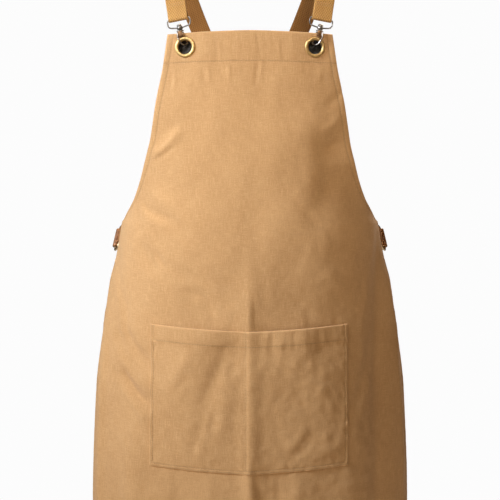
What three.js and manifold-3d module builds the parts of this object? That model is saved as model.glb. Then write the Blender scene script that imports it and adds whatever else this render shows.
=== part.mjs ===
// Bib apron: a canvas panel with a two-part pocket, straps that cross at the back, swivel snap hooks in two
// eyelets, and a ring on a tab at each corner of the waist. It keeps the form that it has when it is worn.
// Millimetres, +Z up, the front faces -Y. The origin lies between the crests of the straps.

import * as THREE from 'three';
import { mergeVertices } from 'three/addons/utils/BufferGeometryUtils.js';
import Module from 'manifold-3d';

const wasm = await Module();
wasm.setup();

// Panel: drops are measured along the cloth from the top edge of the bib, half widths from its centre line.
const apronLength = 860;
const waistDrop = 288;
const waistHalf = 270;
const canvasWall = 1.4;
const hemFold = 1.0;
const topHem = 45;
const sideHem = 10;
const bottomHem = 22;
const sideLift = 25;
const foldHeight = 5;
const clearance = 0.3;

// Pocket
const pocketDrop = 447;
const pocketHeight = 212;
const pocketHalf = 155;
const pocketWall = 1.6;
const pocketHem = 23;
const pocketGape = 11;

// Body that the apron hangs on, stated by the reach of the cloth and straps round it
const shoulderRise = 160;
const shoulderHalf = 124;
const frontReach = 100;
const backReach = 84;

// Straps
const strapWidth = 30;
const strapWall = 2;
const strapTail = 26;
const strapTilt = 9;

// Eyelets and the patches behind them
const eyeletHalf = 97;
const eyeletDrop = 22;
const eyeletBore = 20.6;
const eyeletFlange = 31;
const eyeletCrown = 2.2;
const washerWidth = 27;
const washerWall = 0.8;
const barrelWall = 1.1;
const patchWidth = 44;
const patchHeight = 46;
const patchWall = 1;
const patchDepth = 7;
const patchTop = 3;

// Swivel snap hooks
const hookAside = 8.3;
const bossRise = 8.1;
const bailWire = 2.2;
const bailInside = 32;
const bailDrop = 13.6;
const bossWidth = 8;
const bossHeight = 5;
const stemWidth = 3.4;
const stemPlay = 0.35;
const headWidth = 5.8;
const headHeight = 1.7;
const collarWidth = 11.4;
const collarHeight = 2.8;
const hookWire = 2.1;
const hookLength = 20;
const webWall = 1.1;
const gateWidth = 3.2;
const gateWall = 1.2;

// Waist rings and tabs
const ringWire = 3.4;
const ringInside = 38;
const ringGap = 12;
const ringRound = 2.5;
const tabWidth = 28;
const tabWall = 1.8;
const tabLength = 24;
const tabSeat = 9;
const tabBehind = 0.9;
const ringSlant = 20;
const ringSwing = 26;
const ringLean = 20;
const strapTurn = 50;

const skirtLength = apronLength - waistDrop;

// Sections of the bib: share of waistDrop, flat half width as a share of waistHalf, heading of the edge in
// degrees, bend (how late the section turns) and lift of the edge as a share of sideLift.
const bibSections = [
  { at: 0.0, half: 0.46, turn: 15, bend: 1.4, lift: -0.18 },
  { at: 0.15, half: 0.485, turn: 18, bend: 1.43, lift: -0.1 },
  { at: 0.35, half: 0.533, turn: 23, bend: 1.49, lift: 0.0 },
  { at: 0.56, half: 0.582, turn: 32, bend: 1.54, lift: 0.05 },
  { at: 0.67, half: 0.622, turn: 38, bend: 1.57, lift: 0.1 },
  { at: 0.77, half: 0.671, turn: 47, bend: 1.59, lift: 0.15 },
  { at: 0.87, half: 0.75, turn: 60, bend: 1.62, lift: 0.19 },
  { at: 0.93, half: 0.83, turn: 70, bend: 1.63, lift: 0.22 },
  { at: 0.98, half: 0.94, turn: 84, bend: 1.65, lift: 0.24 },
  { at: 1.0, half: 1.0, turn: 90, bend: 1.65, lift: 0.25 },
];

// Sections of the skirt, with the same columns: share of skirtLength and so on.
const skirtSections = [
  { at: 0.0, half: 1.0, turn: 90, bend: 1.65, lift: 0.25 },
  { at: 0.1, half: 1.006, turn: 86, bend: 1.68, lift: 0.6 },
  { at: 0.2, half: 1.034, turn: 82, bend: 1.71, lift: 0.88 },
  { at: 0.32, half: 1.055, turn: 79, bend: 1.75, lift: 1.0 },
  { at: 0.48, half: 1.082, turn: 76, bend: 1.8, lift: 1.0 },
  { at: 0.7, half: 1.106, turn: 76, bend: 1.8, lift: 1.0 },
  { at: 1.0, half: 1.12, turn: 78, bend: 1.8, lift: 1.0 },
];

// Folds of the panel: each runs from one point to another, across as a share of waistHalf and down as a
// share of apronLength. Width is a share of waistHalf, height of foldHeight, and a valley's is below zero.
const panelFolds = [
  { across: -0.55, down: 0.217, toAcross: -0.385, toDown: 0.172, width: 0.05, height: 0.35 },
  { across: -0.55, down: 0.2, toAcross: -0.405, toDown: 0.162, width: 0.05, height: -0.3 },
  { across: -0.6, down: 0.301, toAcross: -0.357, toDown: 0.356, width: 0.05, height: -0.4 },
  { across: -0.55, down: 0.288, toAcross: -0.33, toDown: 0.336, width: 0.05, height: 0.3 },
  { across: -0.66, down: 0.38, toAcross: -0.54, toDown: 0.42, width: 0.06, height: -0.5 },
  { across: -0.357, down: 0.463, toAcross: -0.19, toDown: 0.494, width: 0.05, height: -0.4 },
  { across: 0.0, down: 0.463, toAcross: 0.0, toDown: 1.02, width: 0.05, height: 0.6 },
  { across: -0.84, down: 0.549, toAcross: -0.565, toDown: 0.614, width: 0.05, height: -0.6 },
  { across: -0.84, down: 0.585, toAcross: -0.57, toDown: 0.64, width: 0.05, height: 0.4 },
  { across: -0.8, down: 0.617, toAcross: -0.565, toDown: 0.662, width: 0.05, height: -0.6 },
  { across: -0.96, down: 0.56, toAcross: -0.98, toDown: 1.02, width: 0.05, height: 0.5 },
  { across: 0.88, down: 0.36, toAcross: 0.8, toDown: 0.64, width: 0.06, height: -0.7 },
  { across: 0.8, down: 0.62, toAcross: 0.79, toDown: 1.02, width: 0.07, height: -0.8 },
  { across: 0.96, down: 0.5, toAcross: 0.95, toDown: 0.85, width: 0.05, height: 0.4 },
  { across: 0.45, down: 0.12, toAcross: 0.47, toDown: 0.27, width: 0.08, height: -0.4 },
  { across: -0.4, down: 0.79, toAcross: -0.45, toDown: 1.02, width: 0.09, height: -0.8 },
  { across: -0.68, down: 0.72, toAcross: -0.72, toDown: 1.02, width: 0.08, height: 0.8 },
  { across: 0.3, down: 0.79, toAcross: 0.33, toDown: 1.02, width: 0.09, height: 0.7 },
  { across: 0.1, down: 0.79, toAcross: 0.14, toDown: 1.02, width: 0.06, height: -0.5 },
];

// Folds of the pocket, with the same columns as shares of pocketHalf and pocketHeight.
const pocketFolds = [
  { across: -0.54, down: 0.15, toAcross: -0.88, toDown: 0.53, width: 0.09, height: 0.35 },
  { across: -0.12, down: 0.05, toAcross: -0.44, toDown: 0.5, width: 0.09, height: -0.5 },
  { across: -0.44, down: 0.5, toAcross: -0.59, toDown: 0.9, width: 0.08, height: -0.4 },
  { across: -0.17, down: 0.36, toAcross: -0.32, toDown: 0.94, width: 0.08, height: 0.5 },
  { across: 0.64, down: 0.76, toAcross: 0.34, toDown: 0.94, width: 0.08, height: -0.4 },
  { across: 0.95, down: 0.8, toAcross: 0.7, toDown: 0.9, width: 0.1, height: 0.5 },
  { across: 0.69, down: 0.12, toAcross: 0.9, toDown: 0.26, width: 0.1, height: -0.4 },
];

// Route of a strap over the shoulder and down to the crossing, for the strap that starts at +X: across as a
// share of shoulderHalf, depth of frontReach or, behind the crest, of backReach, rise of shoulderRise, and
// the direction that its outer face looks in.
const upperRoute = [
  { across: 0.93, depth: -0.87, rise: -0.5, face: [0.08, -1, 0.1] },
  { across: 0.955, depth: -0.75, rise: -0.27, face: [0.08, -1, 0.4] },
  { across: 0.98, depth: -0.47, rise: -0.08, face: [0.05, -0.7, 0.7] },
  { across: 1.0, depth: 0.0, rise: 0.0, face: [0.03, 0, 1] },
  { across: 0.965, depth: 0.5, rise: -0.1, face: [0.05, 0.7, 0.7] },
  { across: 0.88, depth: 0.84, rise: -0.34, face: [0.05, 1, 0.35] },
  { across: 0.71, depth: 0.96, rise: -0.7, face: [0.02, 1, 0.1] },
  { across: 0.55, depth: 1.0, rise: -1.0, face: [0.0, 1, 0.08] },
  { across: 0.29, depth: 1.1, rise: -1.5, face: [0.0, 1, 0.08] },
  { across: 0.0, depth: 1.18, rise: -2.06, face: [0.0, 1, 0.0] },
];

// Route from the crossing to the ring on the other side: shares of the way across and down to the ring, and
// depth as a share of backReach.
const lowerRoute = [
  { across: 0.24, down: 0.38, depth: 1.17, face: [-0.15, 1, 0] },
  { across: 0.52, down: 0.66, depth: 1.1, face: [-0.35, 1, 0] },
  { across: 0.78, down: 0.85, depth: 0.94, face: [-0.7, 0.8, 0] },
];

const strapCells = 4;
const mix = THREE.MathUtils.lerp;
const smooth = THREE.MathUtils.smoothstep;
const vec = (x, y, z) => new THREE.Vector3(x, y, z);

// A column of a table of sections at any share, by a monotone cubic through its rows.
function column(rows, name, at) {
  const last = rows.length - 2;
  let k = rows.findIndex((row) => row.at > at) - 1;
  k = k < -1 ? last : THREE.MathUtils.clamp(k, 0, last);
  const slope = (i) => {
    const row = THREE.MathUtils.clamp(i, 0, last);
    return (rows[row + 1][name] - rows[row][name]) / (rows[row + 1].at - rows[row].at);
  };
  const tangent = (i) => {
    const before = slope(i - 1);
    const after = slope(i);
    return before * after <= 0 ? 0 : (2 * before * after) / (before + after);
  };
  const span = rows[k + 1].at - rows[k].at;
  const t = THREE.MathUtils.clamp((at - rows[k].at) / span, 0, 1);
  const start = rows[k][name] * (1 + 2 * t) * (1 - t) ** 2 + tangent(k) * span * t * (1 - t) ** 2;
  const end = rows[k + 1][name] * t * t * (3 - 2 * t) - tangent(k + 1) * span * t * t * (1 - t);
  return start + end;
}

function sectionAt(drop, name) {
  if (drop < waistDrop) return column(bibSections, name, drop / waistDrop);
  return column(skirtSections, name, (drop - waistDrop) / skirtLength);
}

const halfAt = (drop) => waistHalf * sectionAt(drop, 'half');

// Place on the bare wrapped surface, before folds: the heading grows with a power of the share across.
function wrapped(along, drop) {
  const half = halfAt(drop);
  const turn = THREE.MathUtils.degToRad(sectionAt(drop, 'turn'));
  const bend = sectionAt(drop, 'bend');
  const share = Math.abs(along) / half;
  const pieces = 16;
  let x = 0;
  let y = 0;
  for (let k = 0; k < pieces; k += 1) {
    const heading = turn * (share * (k + 0.5) / pieces) ** bend;
    x += Math.cos(heading) * Math.abs(along) / pieces;
    y += Math.sin(heading) * Math.abs(along) / pieces;
  }
  const lift = sideLift * sectionAt(drop, 'lift') * share ** 1.4;
  return vec(Math.sign(along) * x, y - frontReach, lift - drop - shoulderRise);
}

// The cloth's frame at a place: across points to +X, out to the front.
function clothFrame(along, drop) {
  const step = 2;
  const across = wrapped(along + step, drop).sub(wrapped(along - step, drop)).normalize();
  const above = Math.max(drop - step, 0);
  const up = wrapped(along, above).sub(wrapped(along, drop + step)).normalize();
  const out = across.clone().cross(up).normalize();
  return { at: wrapped(along, drop), across, up, out };
}

// Height of the folds at a place: a bell across each fold's line that fades out at its ends.
function relief(folds, along, drop, half, length) {
  let height = 0;
  for (const fold of folds) {
    const start = new THREE.Vector2(fold.across * half, fold.down * length);
    const run = new THREE.Vector2(fold.toAcross * half, fold.toDown * length).sub(start);
    const from = new THREE.Vector2(along, drop).sub(start);
    const share = from.dot(run) / run.lengthSq();
    const aside = from.cross(run) / run.length() / (fold.width * half);
    const fade = smooth(share, -0.25, 0.25) * (1 - smooth(share, 0.75, 1.25));
    height += fold.height * foldHeight * fade * Math.exp(-aside * aside);
  }
  return height;
}

const eyeletFrame = (side) => clothFrame(side * eyeletHalf, eyeletDrop);
const eyeletFrames = { left: eyeletFrame(-1), right: eyeletFrame(1) };

// Share by which an eyelet holds the cloth flat at a place.
function flatness(along, drop) {
  const away = Math.hypot(Math.abs(along) - eyeletHalf, drop - eyeletDrop);
  return 1 - smooth(away, eyeletFlange * 0.9, eyeletFlange * 1.7);
}

// A place on the panel's front face, moved outwards by a distance.
function onPanel(along, drop, outwards) {
  const frame = clothFrame(along, drop);
  const flat = flatness(along, drop);
  const eyelet = along < 0 ? eyeletFrames.left : eyeletFrames.right;
  const proud = frame.at.clone().sub(eyelet.at).dot(eyelet.out);
  const out = frame.out.clone().lerp(eyelet.out, flat).normalize();
  const folds = (1 - flat) * relief(panelFolds, along, drop, waistHalf, apronLength);
  return frame.at.addScaledVector(eyelet.out, -proud * flat).addScaledVector(out, outwards + folds);
}

// A closed sheet from two grids of points, the outer face and the inner face.
function sheet(columns, rows, outer, inner) {
  const positions = [];
  const index = [];
  const wide = columns.length;
  const tall = rows.length;
  for (const face of [outer, inner]) {
    for (const row of rows) {
      for (const place of columns) positions.push(...face(place, row).toArray());
    }
  }
  const id = (face, j, i) => face * wide * tall + j * wide + i;
  const quad = (a, b, c, d) => index.push(a, b, c, a, c, d);
  for (let j = 0; j < tall - 1; j += 1) {
    for (let i = 0; i < wide - 1; i += 1) {
      quad(id(0, j, i), id(0, j + 1, i), id(0, j + 1, i + 1), id(0, j, i + 1));
      quad(id(1, j, i), id(1, j, i + 1), id(1, j + 1, i + 1), id(1, j + 1, i));
    }
    quad(id(0, j, 0), id(1, j, 0), id(1, j + 1, 0), id(0, j + 1, 0));
    quad(id(0, j, wide - 1), id(0, j + 1, wide - 1), id(1, j + 1, wide - 1), id(1, j, wide - 1));
  }
  for (let i = 0; i < wide - 1; i += 1) {
    quad(id(0, 0, i), id(0, 0, i + 1), id(1, 0, i + 1), id(1, 0, i));
    quad(id(0, tall - 1, i), id(1, tall - 1, i), id(1, tall - 1, i + 1), id(0, tall - 1, i + 1));
  }
  const geometry = new THREE.BufferGeometry();
  geometry.setAttribute('position', new THREE.Float32BufferAttribute(positions, 3));
  geometry.setIndex(index);
  return geometry;
}

// Joins and cuts of closed geometries.
function solid(geometry) {
  const bare = geometry.clone();
  bare.deleteAttribute('normal');
  bare.deleteAttribute('uv');
  const merged = mergeVertices(bare, 1e-4);
  return new wasm.Manifold(new wasm.Mesh({
    numProp: 3,
    vertProperties: new Float32Array(merged.attributes.position.array),
    triVerts: new Uint32Array(merged.index.array),
  }));
}

function meshed(manifold) {
  const mesh = manifold.getMesh();
  const geometry = new THREE.BufferGeometry();
  geometry.setAttribute('position', new THREE.Float32BufferAttribute(mesh.vertProperties, 3));
  geometry.setIndex(Array.from(mesh.triVerts));
  return geometry;
}

function joined(geometries) {
  return meshed(geometries.map(solid).reduce((all, one) => all.add(one)));
}

// A round rod along a curve.
function rod(points, width, steps, sides) {
  const curve = new THREE.CatmullRomCurve3(points, false, 'centripetal');
  const round = new THREE.Shape();
  for (let k = 0; k < sides; k += 1) {
    const angle = 2 * Math.PI * k / sides;
    const corner = [Math.cos(angle) * width / 2, Math.sin(angle) * width / 2];
    if (k === 0) round.moveTo(...corner);
    else round.lineTo(...corner);
  }
  return new THREE.ExtrudeGeometry(round, { steps, extrudePath: curve, bevelEnabled: false });
}

// A flat band through stations, each with its place, the direction across the band and its outer face's.
function band(stations, width, wall) {
  const corners = (station) => [[-1, 1], [1, 1], [1, -1], [-1, -1]].map(([side, face]) => station.at.clone()
    .addScaledVector(station.across, side * width / 2)
    .addScaledVector(station.out, face * wall / 2));
  const positions = stations.flatMap((station) => corners(station).flatMap((corner) => corner.toArray()));
  const index = [0, 2, 1, 0, 3, 2];
  for (let k = 0; k < stations.length - 1; k += 1) {
    for (let side = 0; side < 4; side += 1) {
      const a = 4 * k + side;
      const b = 4 * k + (side + 1) % 4;
      index.push(a, b + 4, a + 4, a, b, b + 4);
    }
  }
  const end = 4 * (stations.length - 1);
  index.push(end, end + 1, end + 2, end, end + 2, end + 3);
  const geometry = new THREE.BufferGeometry();
  geometry.setAttribute('position', new THREE.Float32BufferAttribute(positions, 3));
  geometry.setIndex(index);
  return geometry;
}

// Stations of a band's end that is folded round a bar and lies doubled behind itself: from the tip of the
// tail, round the bar, to the same height in front. The frame holds at, across, out and up, and so does the
// seat, where the doubled end lies straight over a length.
function hairpin(frame, barWidth, wall, tail, seat) {
  const bends = 8;
  const reach = ((barWidth + wall) / 2 + clearance) / Math.cos(Math.PI / bends / 2);
  const close = (wall + clearance) / 2;
  const free = tail - seat.length;
  const lay = (share, face) => {
    const bent = Math.min(share * tail / free, 1);
    const leaving = frame.at.clone().addScaledVector(frame.up, free / 3);
    const landing = seat.at.clone().addScaledVector(seat.up, -free / 3);
    const middle = new THREE.CubicBezierCurve3(frame.at, leaving, landing, seat.at).getPoint(bent)
      .addScaledVector(seat.up, Math.max(share * tail - free, 0));
    const turn = smooth(bent, 0, 1);
    const out = frame.out.clone().lerp(seat.out, turn).normalize().multiplyScalar(face);
    const across = frame.across.clone().lerp(seat.across, turn).normalize();
    return { at: middle.addScaledVector(out, mix(reach, close, smooth(share, 0, 0.55))), across, out };
  };
  const shares = [0.2, 0.4, 0.6, 0.8, 1];
  const bend = Array.from({ length: bends + 1 }, (_, k) => {
    const angle = Math.PI * k / bends;
    const out = frame.out.clone().multiplyScalar(-Math.cos(angle))
      .addScaledVector(frame.up, -Math.sin(angle));
    return { at: frame.at.clone().addScaledVector(out, reach), across: frame.across, out };
  });
  const behind = shares.map((share) => lay(share, -1)).reverse();
  return [...behind, ...bend, ...shares.map((share) => lay(share, 1))];
}

function piece(name, geometry, [colour, roughness, metalness]) {
  const clean = geometry.clone();
  clean.deleteAttribute('normal');
  clean.deleteAttribute('uv');
  const merged = mergeVertices(clean, 1e-4);
  merged.computeVertexNormals();
  const material = new THREE.MeshStandardMaterial({ color: colour, roughness, metalness });
  const mesh = new THREE.Mesh(merged, material);
  mesh.name = name;
  return mesh;
}

const canvasLook = [0xc89868, 0.95, 0];
const strapLook = [0xbd8a4e, 0.9, 0];
const brassLook = [0xc9a45a, 0.3, 1];
const nickelLook = [0x8f8577, 0.3, 1];
const bronzeLook = [0x8a5a2c, 0.4, 1];
const leatherLook = [0x6a3c20, 0.7, 0];
const patchLook = [0x111111, 0.35, 0];

// Panel: columns are places along the cloth for a drop, with some of their own where the side hems begin.
const hemStep = 1.5;

function panelWall(along, drop) {
  const edge = halfAt(drop) - Math.abs(along);
  const endFold = drop < topHem || drop > apronLength - bottomHem + hemStep / 2;
  return canvasWall + (endFold || edge < sideHem - hemStep / 2 ? hemFold : 0);
}

// The pocket's columns and rows are nodes of the panel too, so that both sheets bend alike.
const spread = (cells) => Array.from({ length: cells + 1 }, (_, k) => k / cells);
const pocketColumns = spread(16).map((share) => (2 * share - 1) * pocketHalf);
const pocketRows = [0, pocketHem / 2, pocketHem,
  ...spread(8).map((share) => mix(pocketHem + hemStep, pocketHeight, share))];

function panelColumns() {
  const inside = (drop) => halfAt(drop) - sideHem;
  const shrink = (drop) => Math.min(inside(drop) / (waistHalf - sideHem), 1);
  const middle = pocketColumns.map((along) => (drop) => along * shrink(drop));
  const between = (share) => (drop) => mix(pocketHalf * shrink(drop), inside(drop), share);
  const beside = [0.3, 0.62, 1].map(between);
  const hem = [sideHem - hemStep, 0].map((edge) => (drop) => halfAt(drop) - edge);
  const right = [...beside, ...hem];
  const left = right.map((place) => (drop) => -place(drop)).reverse();
  return [...left, ...middle, ...right];
}

function panelRows() {
  const bibShares = [0, 0.06, 0.11, 0.23, 0.34, 0.45, 0.55, 0.64, 0.72, 0.79, 0.85, 0.9, 0.94, 0.975, 1];
  const facing = [topHem - hemStep / 2, topHem + hemStep / 2];
  const bib = [...bibShares.map((share) => share * waistDrop), ...facing].sort((one, next) => one - next);
  const above = [0.09, 0.19, 0.34, 0.52, 0.76].map((share) => mix(waistDrop, pocketDrop, share));
  const low = pocketDrop + pocketHeight;
  const below = spread(6).slice(1).map((share) => mix(low, apronLength - bottomHem, share));
  return [...bib, ...above, ...pocketRows.map((down) => pocketDrop + down), ...below,
    apronLength - bottomHem + hemStep, apronLength];
}

function panel() {
  const outer = (place, drop) => onPanel(place(drop), drop, 0);
  const inner = (place, drop) => onPanel(place(drop), drop, -panelWall(place(drop), drop));
  const cloth = solid(sheet(panelColumns(), panelRows(), outer, inner));
  const holes = [-1, 1].map((side) => {
    const width = eyeletBore / 2 + barrelWall + clearance;
    return solid(new THREE.CylinderGeometry(width, width, 12, 24).applyMatrix4(placeOf(eyeletFrame(side))));
  });
  return piece('apron_panel', meshed(cloth.subtract(holes[0]).subtract(holes[1])), canvasLook);
}

// Pocket: it lies on the panel along its sides, its bottom and its middle seam, and gapes between them.
function pocketStandOff(along, down) {
  const share = Math.abs(along) / pocketHalf;
  const shut = 1 - smooth(down, pocketHeight * 0.85, pocketHeight);
  const mouth = mix(1, 0.3, smooth(down, 0, pocketHeight * 0.9)) * shut;
  const bulge = Math.sin(Math.PI * Math.min(share, 1)) ** 0.8;
  const folds = relief(pocketFolds, along, down, pocketHalf, pocketHeight);
  return clearance + bulge * mouth * (pocketGape + folds);
}

function pocket() {
  const wallAt = (down) => pocketWall + (down > pocketHem ? 0 : hemFold);
  const face = (wall) => (along, down) => {
    const proud = pocketStandOff(along, down) + wall(down);
    return onPanel(along, pocketDrop + down, proud);
  };
  return piece('pocket', sheet(pocketColumns, pocketRows, face(wallAt), face(() => 0)), canvasLook);
}

// A frame's matrix, with the local Y axis out to the front and the local Z axis up.
function placeOf(frame) {
  const side = frame.out.clone().cross(frame.up).normalize();
  return new THREE.Matrix4().makeBasis(side, frame.out, side.clone().cross(frame.out)).setPosition(frame.at);
}

const hemWall = canvasWall + hemFold;

// Eyelet: a domed flange in front, a barrel through the cloth and a washer rolled out behind it.
function eyelet() {
  const bore = eyeletBore / 2;
  const flange = eyeletFlange / 2;
  const crown = Array.from({ length: 7 }, (_, k) => {
    const angle = Math.PI * k / 6;
    const radius = (flange + bore) / 2 + Math.cos(angle) * (flange - bore) / 2;
    return new THREE.Vector2(radius, clearance + Math.sin(angle) * eyeletCrown);
  });
  const back = -hemWall - clearance;
  const behind = [[bore, back - washerWall], [washerWidth / 2, back - washerWall], [washerWidth / 2, back],
    [bore + barrelWall, back], [bore + barrelWall, clearance]].map((corner) => new THREE.Vector2(...corner));
  const profile = [...crown, ...behind, crown[0].clone()];
  return new THREE.LatheGeometry(profile, 20).applyMatrix4(placeOf(eyeletFrames.right));
}

// Patch behind the eyelet: shut at its sides and bottom, open at its top for the tip and gate of the hook.
function eyeletPatch() {
  const cells = 6;
  const columns = spread(cells).map((share) => eyeletHalf + (share - 0.5) * patchWidth);
  const rows = spread(cells).map((share) => patchTop + share * patchHeight);
  const face = (wall) => (along, drop) => {
    const aside = Math.abs(along - eyeletHalf) * 2 / patchWidth;
    const share = (drop - patchTop) / patchHeight;
    const hollow = patchDepth * (1 - aside ** 3) * (1 - smooth(share, 0.6, 1));
    return onPanel(along, drop, -hemWall - 2 * clearance - hollow - wall);
  };
  return sheet(columns, rows, face(0), face(patchWall));
}

// Frame of the bail's boss above the top edge of the bib, leaning outwards with the strap.
function bossFrame() {
  const cloth = clothFrame(eyeletHalf + hookAside, 0);
  const tilt = THREE.MathUtils.degToRad(strapTilt);
  const up = cloth.up.clone().multiplyScalar(Math.cos(tilt)).addScaledVector(cloth.across, Math.sin(tilt));
  const at = cloth.at.clone().addScaledVector(cloth.up, bossRise).addScaledVector(cloth.out, -hemWall / 2);
  return { at, up, out: cloth.out, across: up.clone().cross(cloth.out).normalize() };
}

const inFrame = (frame, across, up, out = 0) => frame.at.clone()
  .addScaledVector(frame.across, across).addScaledVector(frame.up, up).addScaledVector(frame.out, out);

// A frame's matrix, with the local X axis across, the local Y axis up and a place of its own.
function standing(frame, place = frame.at) {
  const through = frame.across.clone().cross(frame.up);
  return new THREE.Matrix4().makeBasis(frame.across, frame.up, through).setPosition(place);
}

// A turned part on a frame's upward axis, from a profile of radii and heights.
function turned(frame, profile, segments) {
  const points = profile.map(([radius, height]) => new THREE.Vector2(radius, height));
  return new THREE.LatheGeometry(points, segments).applyMatrix4(standing(frame));
}

// Bail: a wire bent into a loop for the strap, with both ends in a boss that the hook turns in.
function bail() {
  const frame = bossFrame();
  const half = (bailInside + bailWire) / 2;
  const edge = bossWidth / 2 - bailWire / 2;
  const right = [[edge, 0], [half * 0.5, bailDrop * 0.06], [half * 0.86, bailDrop * 0.17],
    [half, bailDrop * 0.4], [half, bailDrop * 0.85], [half * 0.95, bailDrop * 0.98],
    [half * 0.85, bailDrop], [half * 0.3, bailDrop]];
  const left = right.map(([across, up]) => [-across, up]).reverse();
  const wire = rod([...right, ...left].map(([across, up]) => inFrame(frame, across, up)), bailWire, 30, 6);
  const bore = stemWidth / 2 + stemPlay;
  const side = bossWidth / 2;
  const top = bossHeight / 2;
  const profile = [[bore, -top], [side * 0.8, -top], [side, -top / 2], [side, top / 2], [side * 0.8, top],
    [bore, top], [bore, -top]];
  return joined([wire, turned(frame, profile, 14)]);
}

// Hook: head, stem and collar on the boss's axis, a rod through the eyelet, and a web beside the rod.
const collarUnder = -(bossHeight / 2 + clearance + collarHeight);

function hookFrame() {
  const boss = bossFrame();
  const cloth = clothFrame(eyeletHalf + hookAside, 0);
  const across = cloth.across.clone().negate();
  return { at: inFrame(boss, 0, collarUnder), across, up: cloth.up, out: cloth.out };
}

// Rod of the hook: inwards and down as shares of hookLength, and out in front of the middle of the hem as a
// share of hemWall.
const hookRoute = [
  { inwards: -0.07, down: -0.04, out: 0.9 },
  { inwards: -0.15, down: 0.08, out: 1.75 },
  { inwards: -0.155, down: 0.23, out: 2.15 },
  { inwards: -0.125, down: 0.475, out: 2.3 },
  { inwards: -0.01, down: 0.705, out: 2.3 },
  { inwards: 0.12, down: 0.9, out: 1.75 },
  { inwards: 0.25, down: 1.0, out: 0.6 },
  { inwards: 0.38, down: 0.985, out: -0.9 },
  { inwards: 0.48, down: 0.9, out: -1.75 },
  { inwards: 0.51, down: 0.82, out: -1.9 },
];

function hookPoint(row) {
  return inFrame(hookFrame(), row.inwards * hookLength, -row.down * hookLength, row.out * hemWall);
}

function hook() {
  const boss = bossFrame();
  const head = bossHeight / 2 + clearance;
  const stem = stemWidth / 2;
  const rim = collarWidth / 2;
  const top = collarUnder + collarHeight;
  const profile = [[0, collarUnder], [rim * 0.78, collarUnder], [rim, collarUnder + collarHeight * 0.25],
    [rim, collarUnder + collarHeight * 0.5], [rim * 0.7, top - collarHeight * 0.3], [rim * 0.56, top],
    [stem, top], [stem, head], [headWidth / 2, head], [headWidth / 2, head + headHeight * 0.4],
    [stem, head + headHeight * 0.9], [0, head + headHeight]];
  const frame = hookFrame();
  const reach = eyeletFlange / 2 + 2 * clearance;
  const centre = eyeletFrames.right.at.clone().sub(frame.at);
  const rimAt = (across) => {
    const aside = across - centre.dot(frame.across);
    return centre.dot(frame.up) + Math.sqrt(reach ** 2 - aside ** 2);
  };
  const web = new THREE.Shape();
  web.moveTo(-0.13 * hookLength, 0.02 * hookLength);
  const gateSide = [[0.17, 0.02], [0.22, -0.15], [0.27, -0.3]];
  gateSide.forEach(([x, y]) => web.lineTo(x * hookLength, y * hookLength));
  [0.27, 0.15, 0, -0.12].forEach((share) => web.lineTo(share * hookLength, rimAt(share * hookLength)));
  web.closePath();
  const plate = new THREE.ExtrudeGeometry(web, { depth: webWall, bevelEnabled: false });
  plate.applyMatrix4(standing(frame, inFrame(frame, 0, 0, 1.3 * hemWall + webWall / 2)));
  return joined([turned(boss, profile, 14), rod(hookRoute.map(hookPoint), hookWire, 22, 6), plate]);
}

// Gate: a plain flat bar behind the bib, from the collar to the tip of the hook.
function gate() {
  const frame = hookFrame();
  const tip = hookPoint(hookRoute.at(-1));
  const top = inFrame(frame, 0.12 * hookLength, -clearance, -1.75 * hemWall);
  const way = top.clone().sub(tip).normalize();
  const bottom = tip.clone().addScaledVector(way, clearance + hookWire / 2);
  const out = frame.out.clone().addScaledVector(way, -frame.out.dot(way)).normalize();
  const across = way.clone().cross(out);
  return band([bottom, top].map((at) => ({ at, across, out })), gateWidth, gateWall);
}

// Frame of the waist ring: up runs away from the panel, across down along the ring's bars, out to the side.
function ringFrame() {
  const drop = waistDrop + tabWidth * 0.6;
  const edge = clothFrame(halfAt(drop) - tabSeat / 2, drop);
  const [slant, swing, lean] = [ringSlant, ringSwing, ringLean].map(THREE.MathUtils.degToRad);
  const up = vec(Math.sin(swing) * Math.cos(slant), Math.cos(swing) * Math.cos(slant), -Math.sin(slant));
  const side = vec(Math.cos(swing), -Math.sin(swing), 0);
  const bars = up.clone().cross(side);
  const across = bars.clone().multiplyScalar(Math.cos(lean)).addScaledVector(side, Math.sin(lean));
  const seat = {
    at: inFrame(edge, tabSeat / 2, 0, -hemWall - tabBehind - tabWall - clearance / 2),
    up: edge.across.clone().negate(), across: edge.up, out: edge.out, length: tabSeat,
  };
  const at = seat.at.clone().addScaledVector(up, tabLength - tabSeat);
  return { at, up, across, out: across.clone().cross(up), seat };
}

// Ring: a rounded rectangle of wire, its near bar in the tab and its far bar in the strap.
function ring() {
  const frame = ringFrame();
  const wire = ringWire / 2 * Math.cos(Math.PI / 8);
  const edge = 0.6 * wire;
  const inset = ringWire / 2 - wire + edge;
  const slot = (grow) => {
    const half = ringInside / 2 + grow;
    const low = ringWire / 2 - grow;
    const high = ringWire / 2 + ringGap + grow;
    const round = ringRound + grow;
    const path = new THREE.Path();
    const corners = [[half - round, low + round], [half - round, high - round],
      [-half + round, high - round], [-half + round, low + round]];
    path.moveTo(-half + round, low);
    corners.forEach(([x, y], quarter) => {
      path.absarc(x, y, round, (quarter - 1) * Math.PI / 2, quarter * Math.PI / 2);
    });
    return path;
  };
  const outline = new THREE.Shape(slot(ringWire - inset).getPoints(2));
  outline.holes.push(new THREE.Path(slot(inset).getPoints(2)));
  const flat = new THREE.ExtrudeGeometry(outline, {
    depth: 2 * (wire - edge), bevelThickness: edge, bevelSize: edge, bevelSegments: 1, steps: 1,
  });
  flat.translate(0, 0, edge - wire);
  const sag = (ringInside - strapWidth) / 2 - ringRound;
  return flat.applyMatrix4(standing(frame, inFrame(frame, sag, 0)));
}

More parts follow.
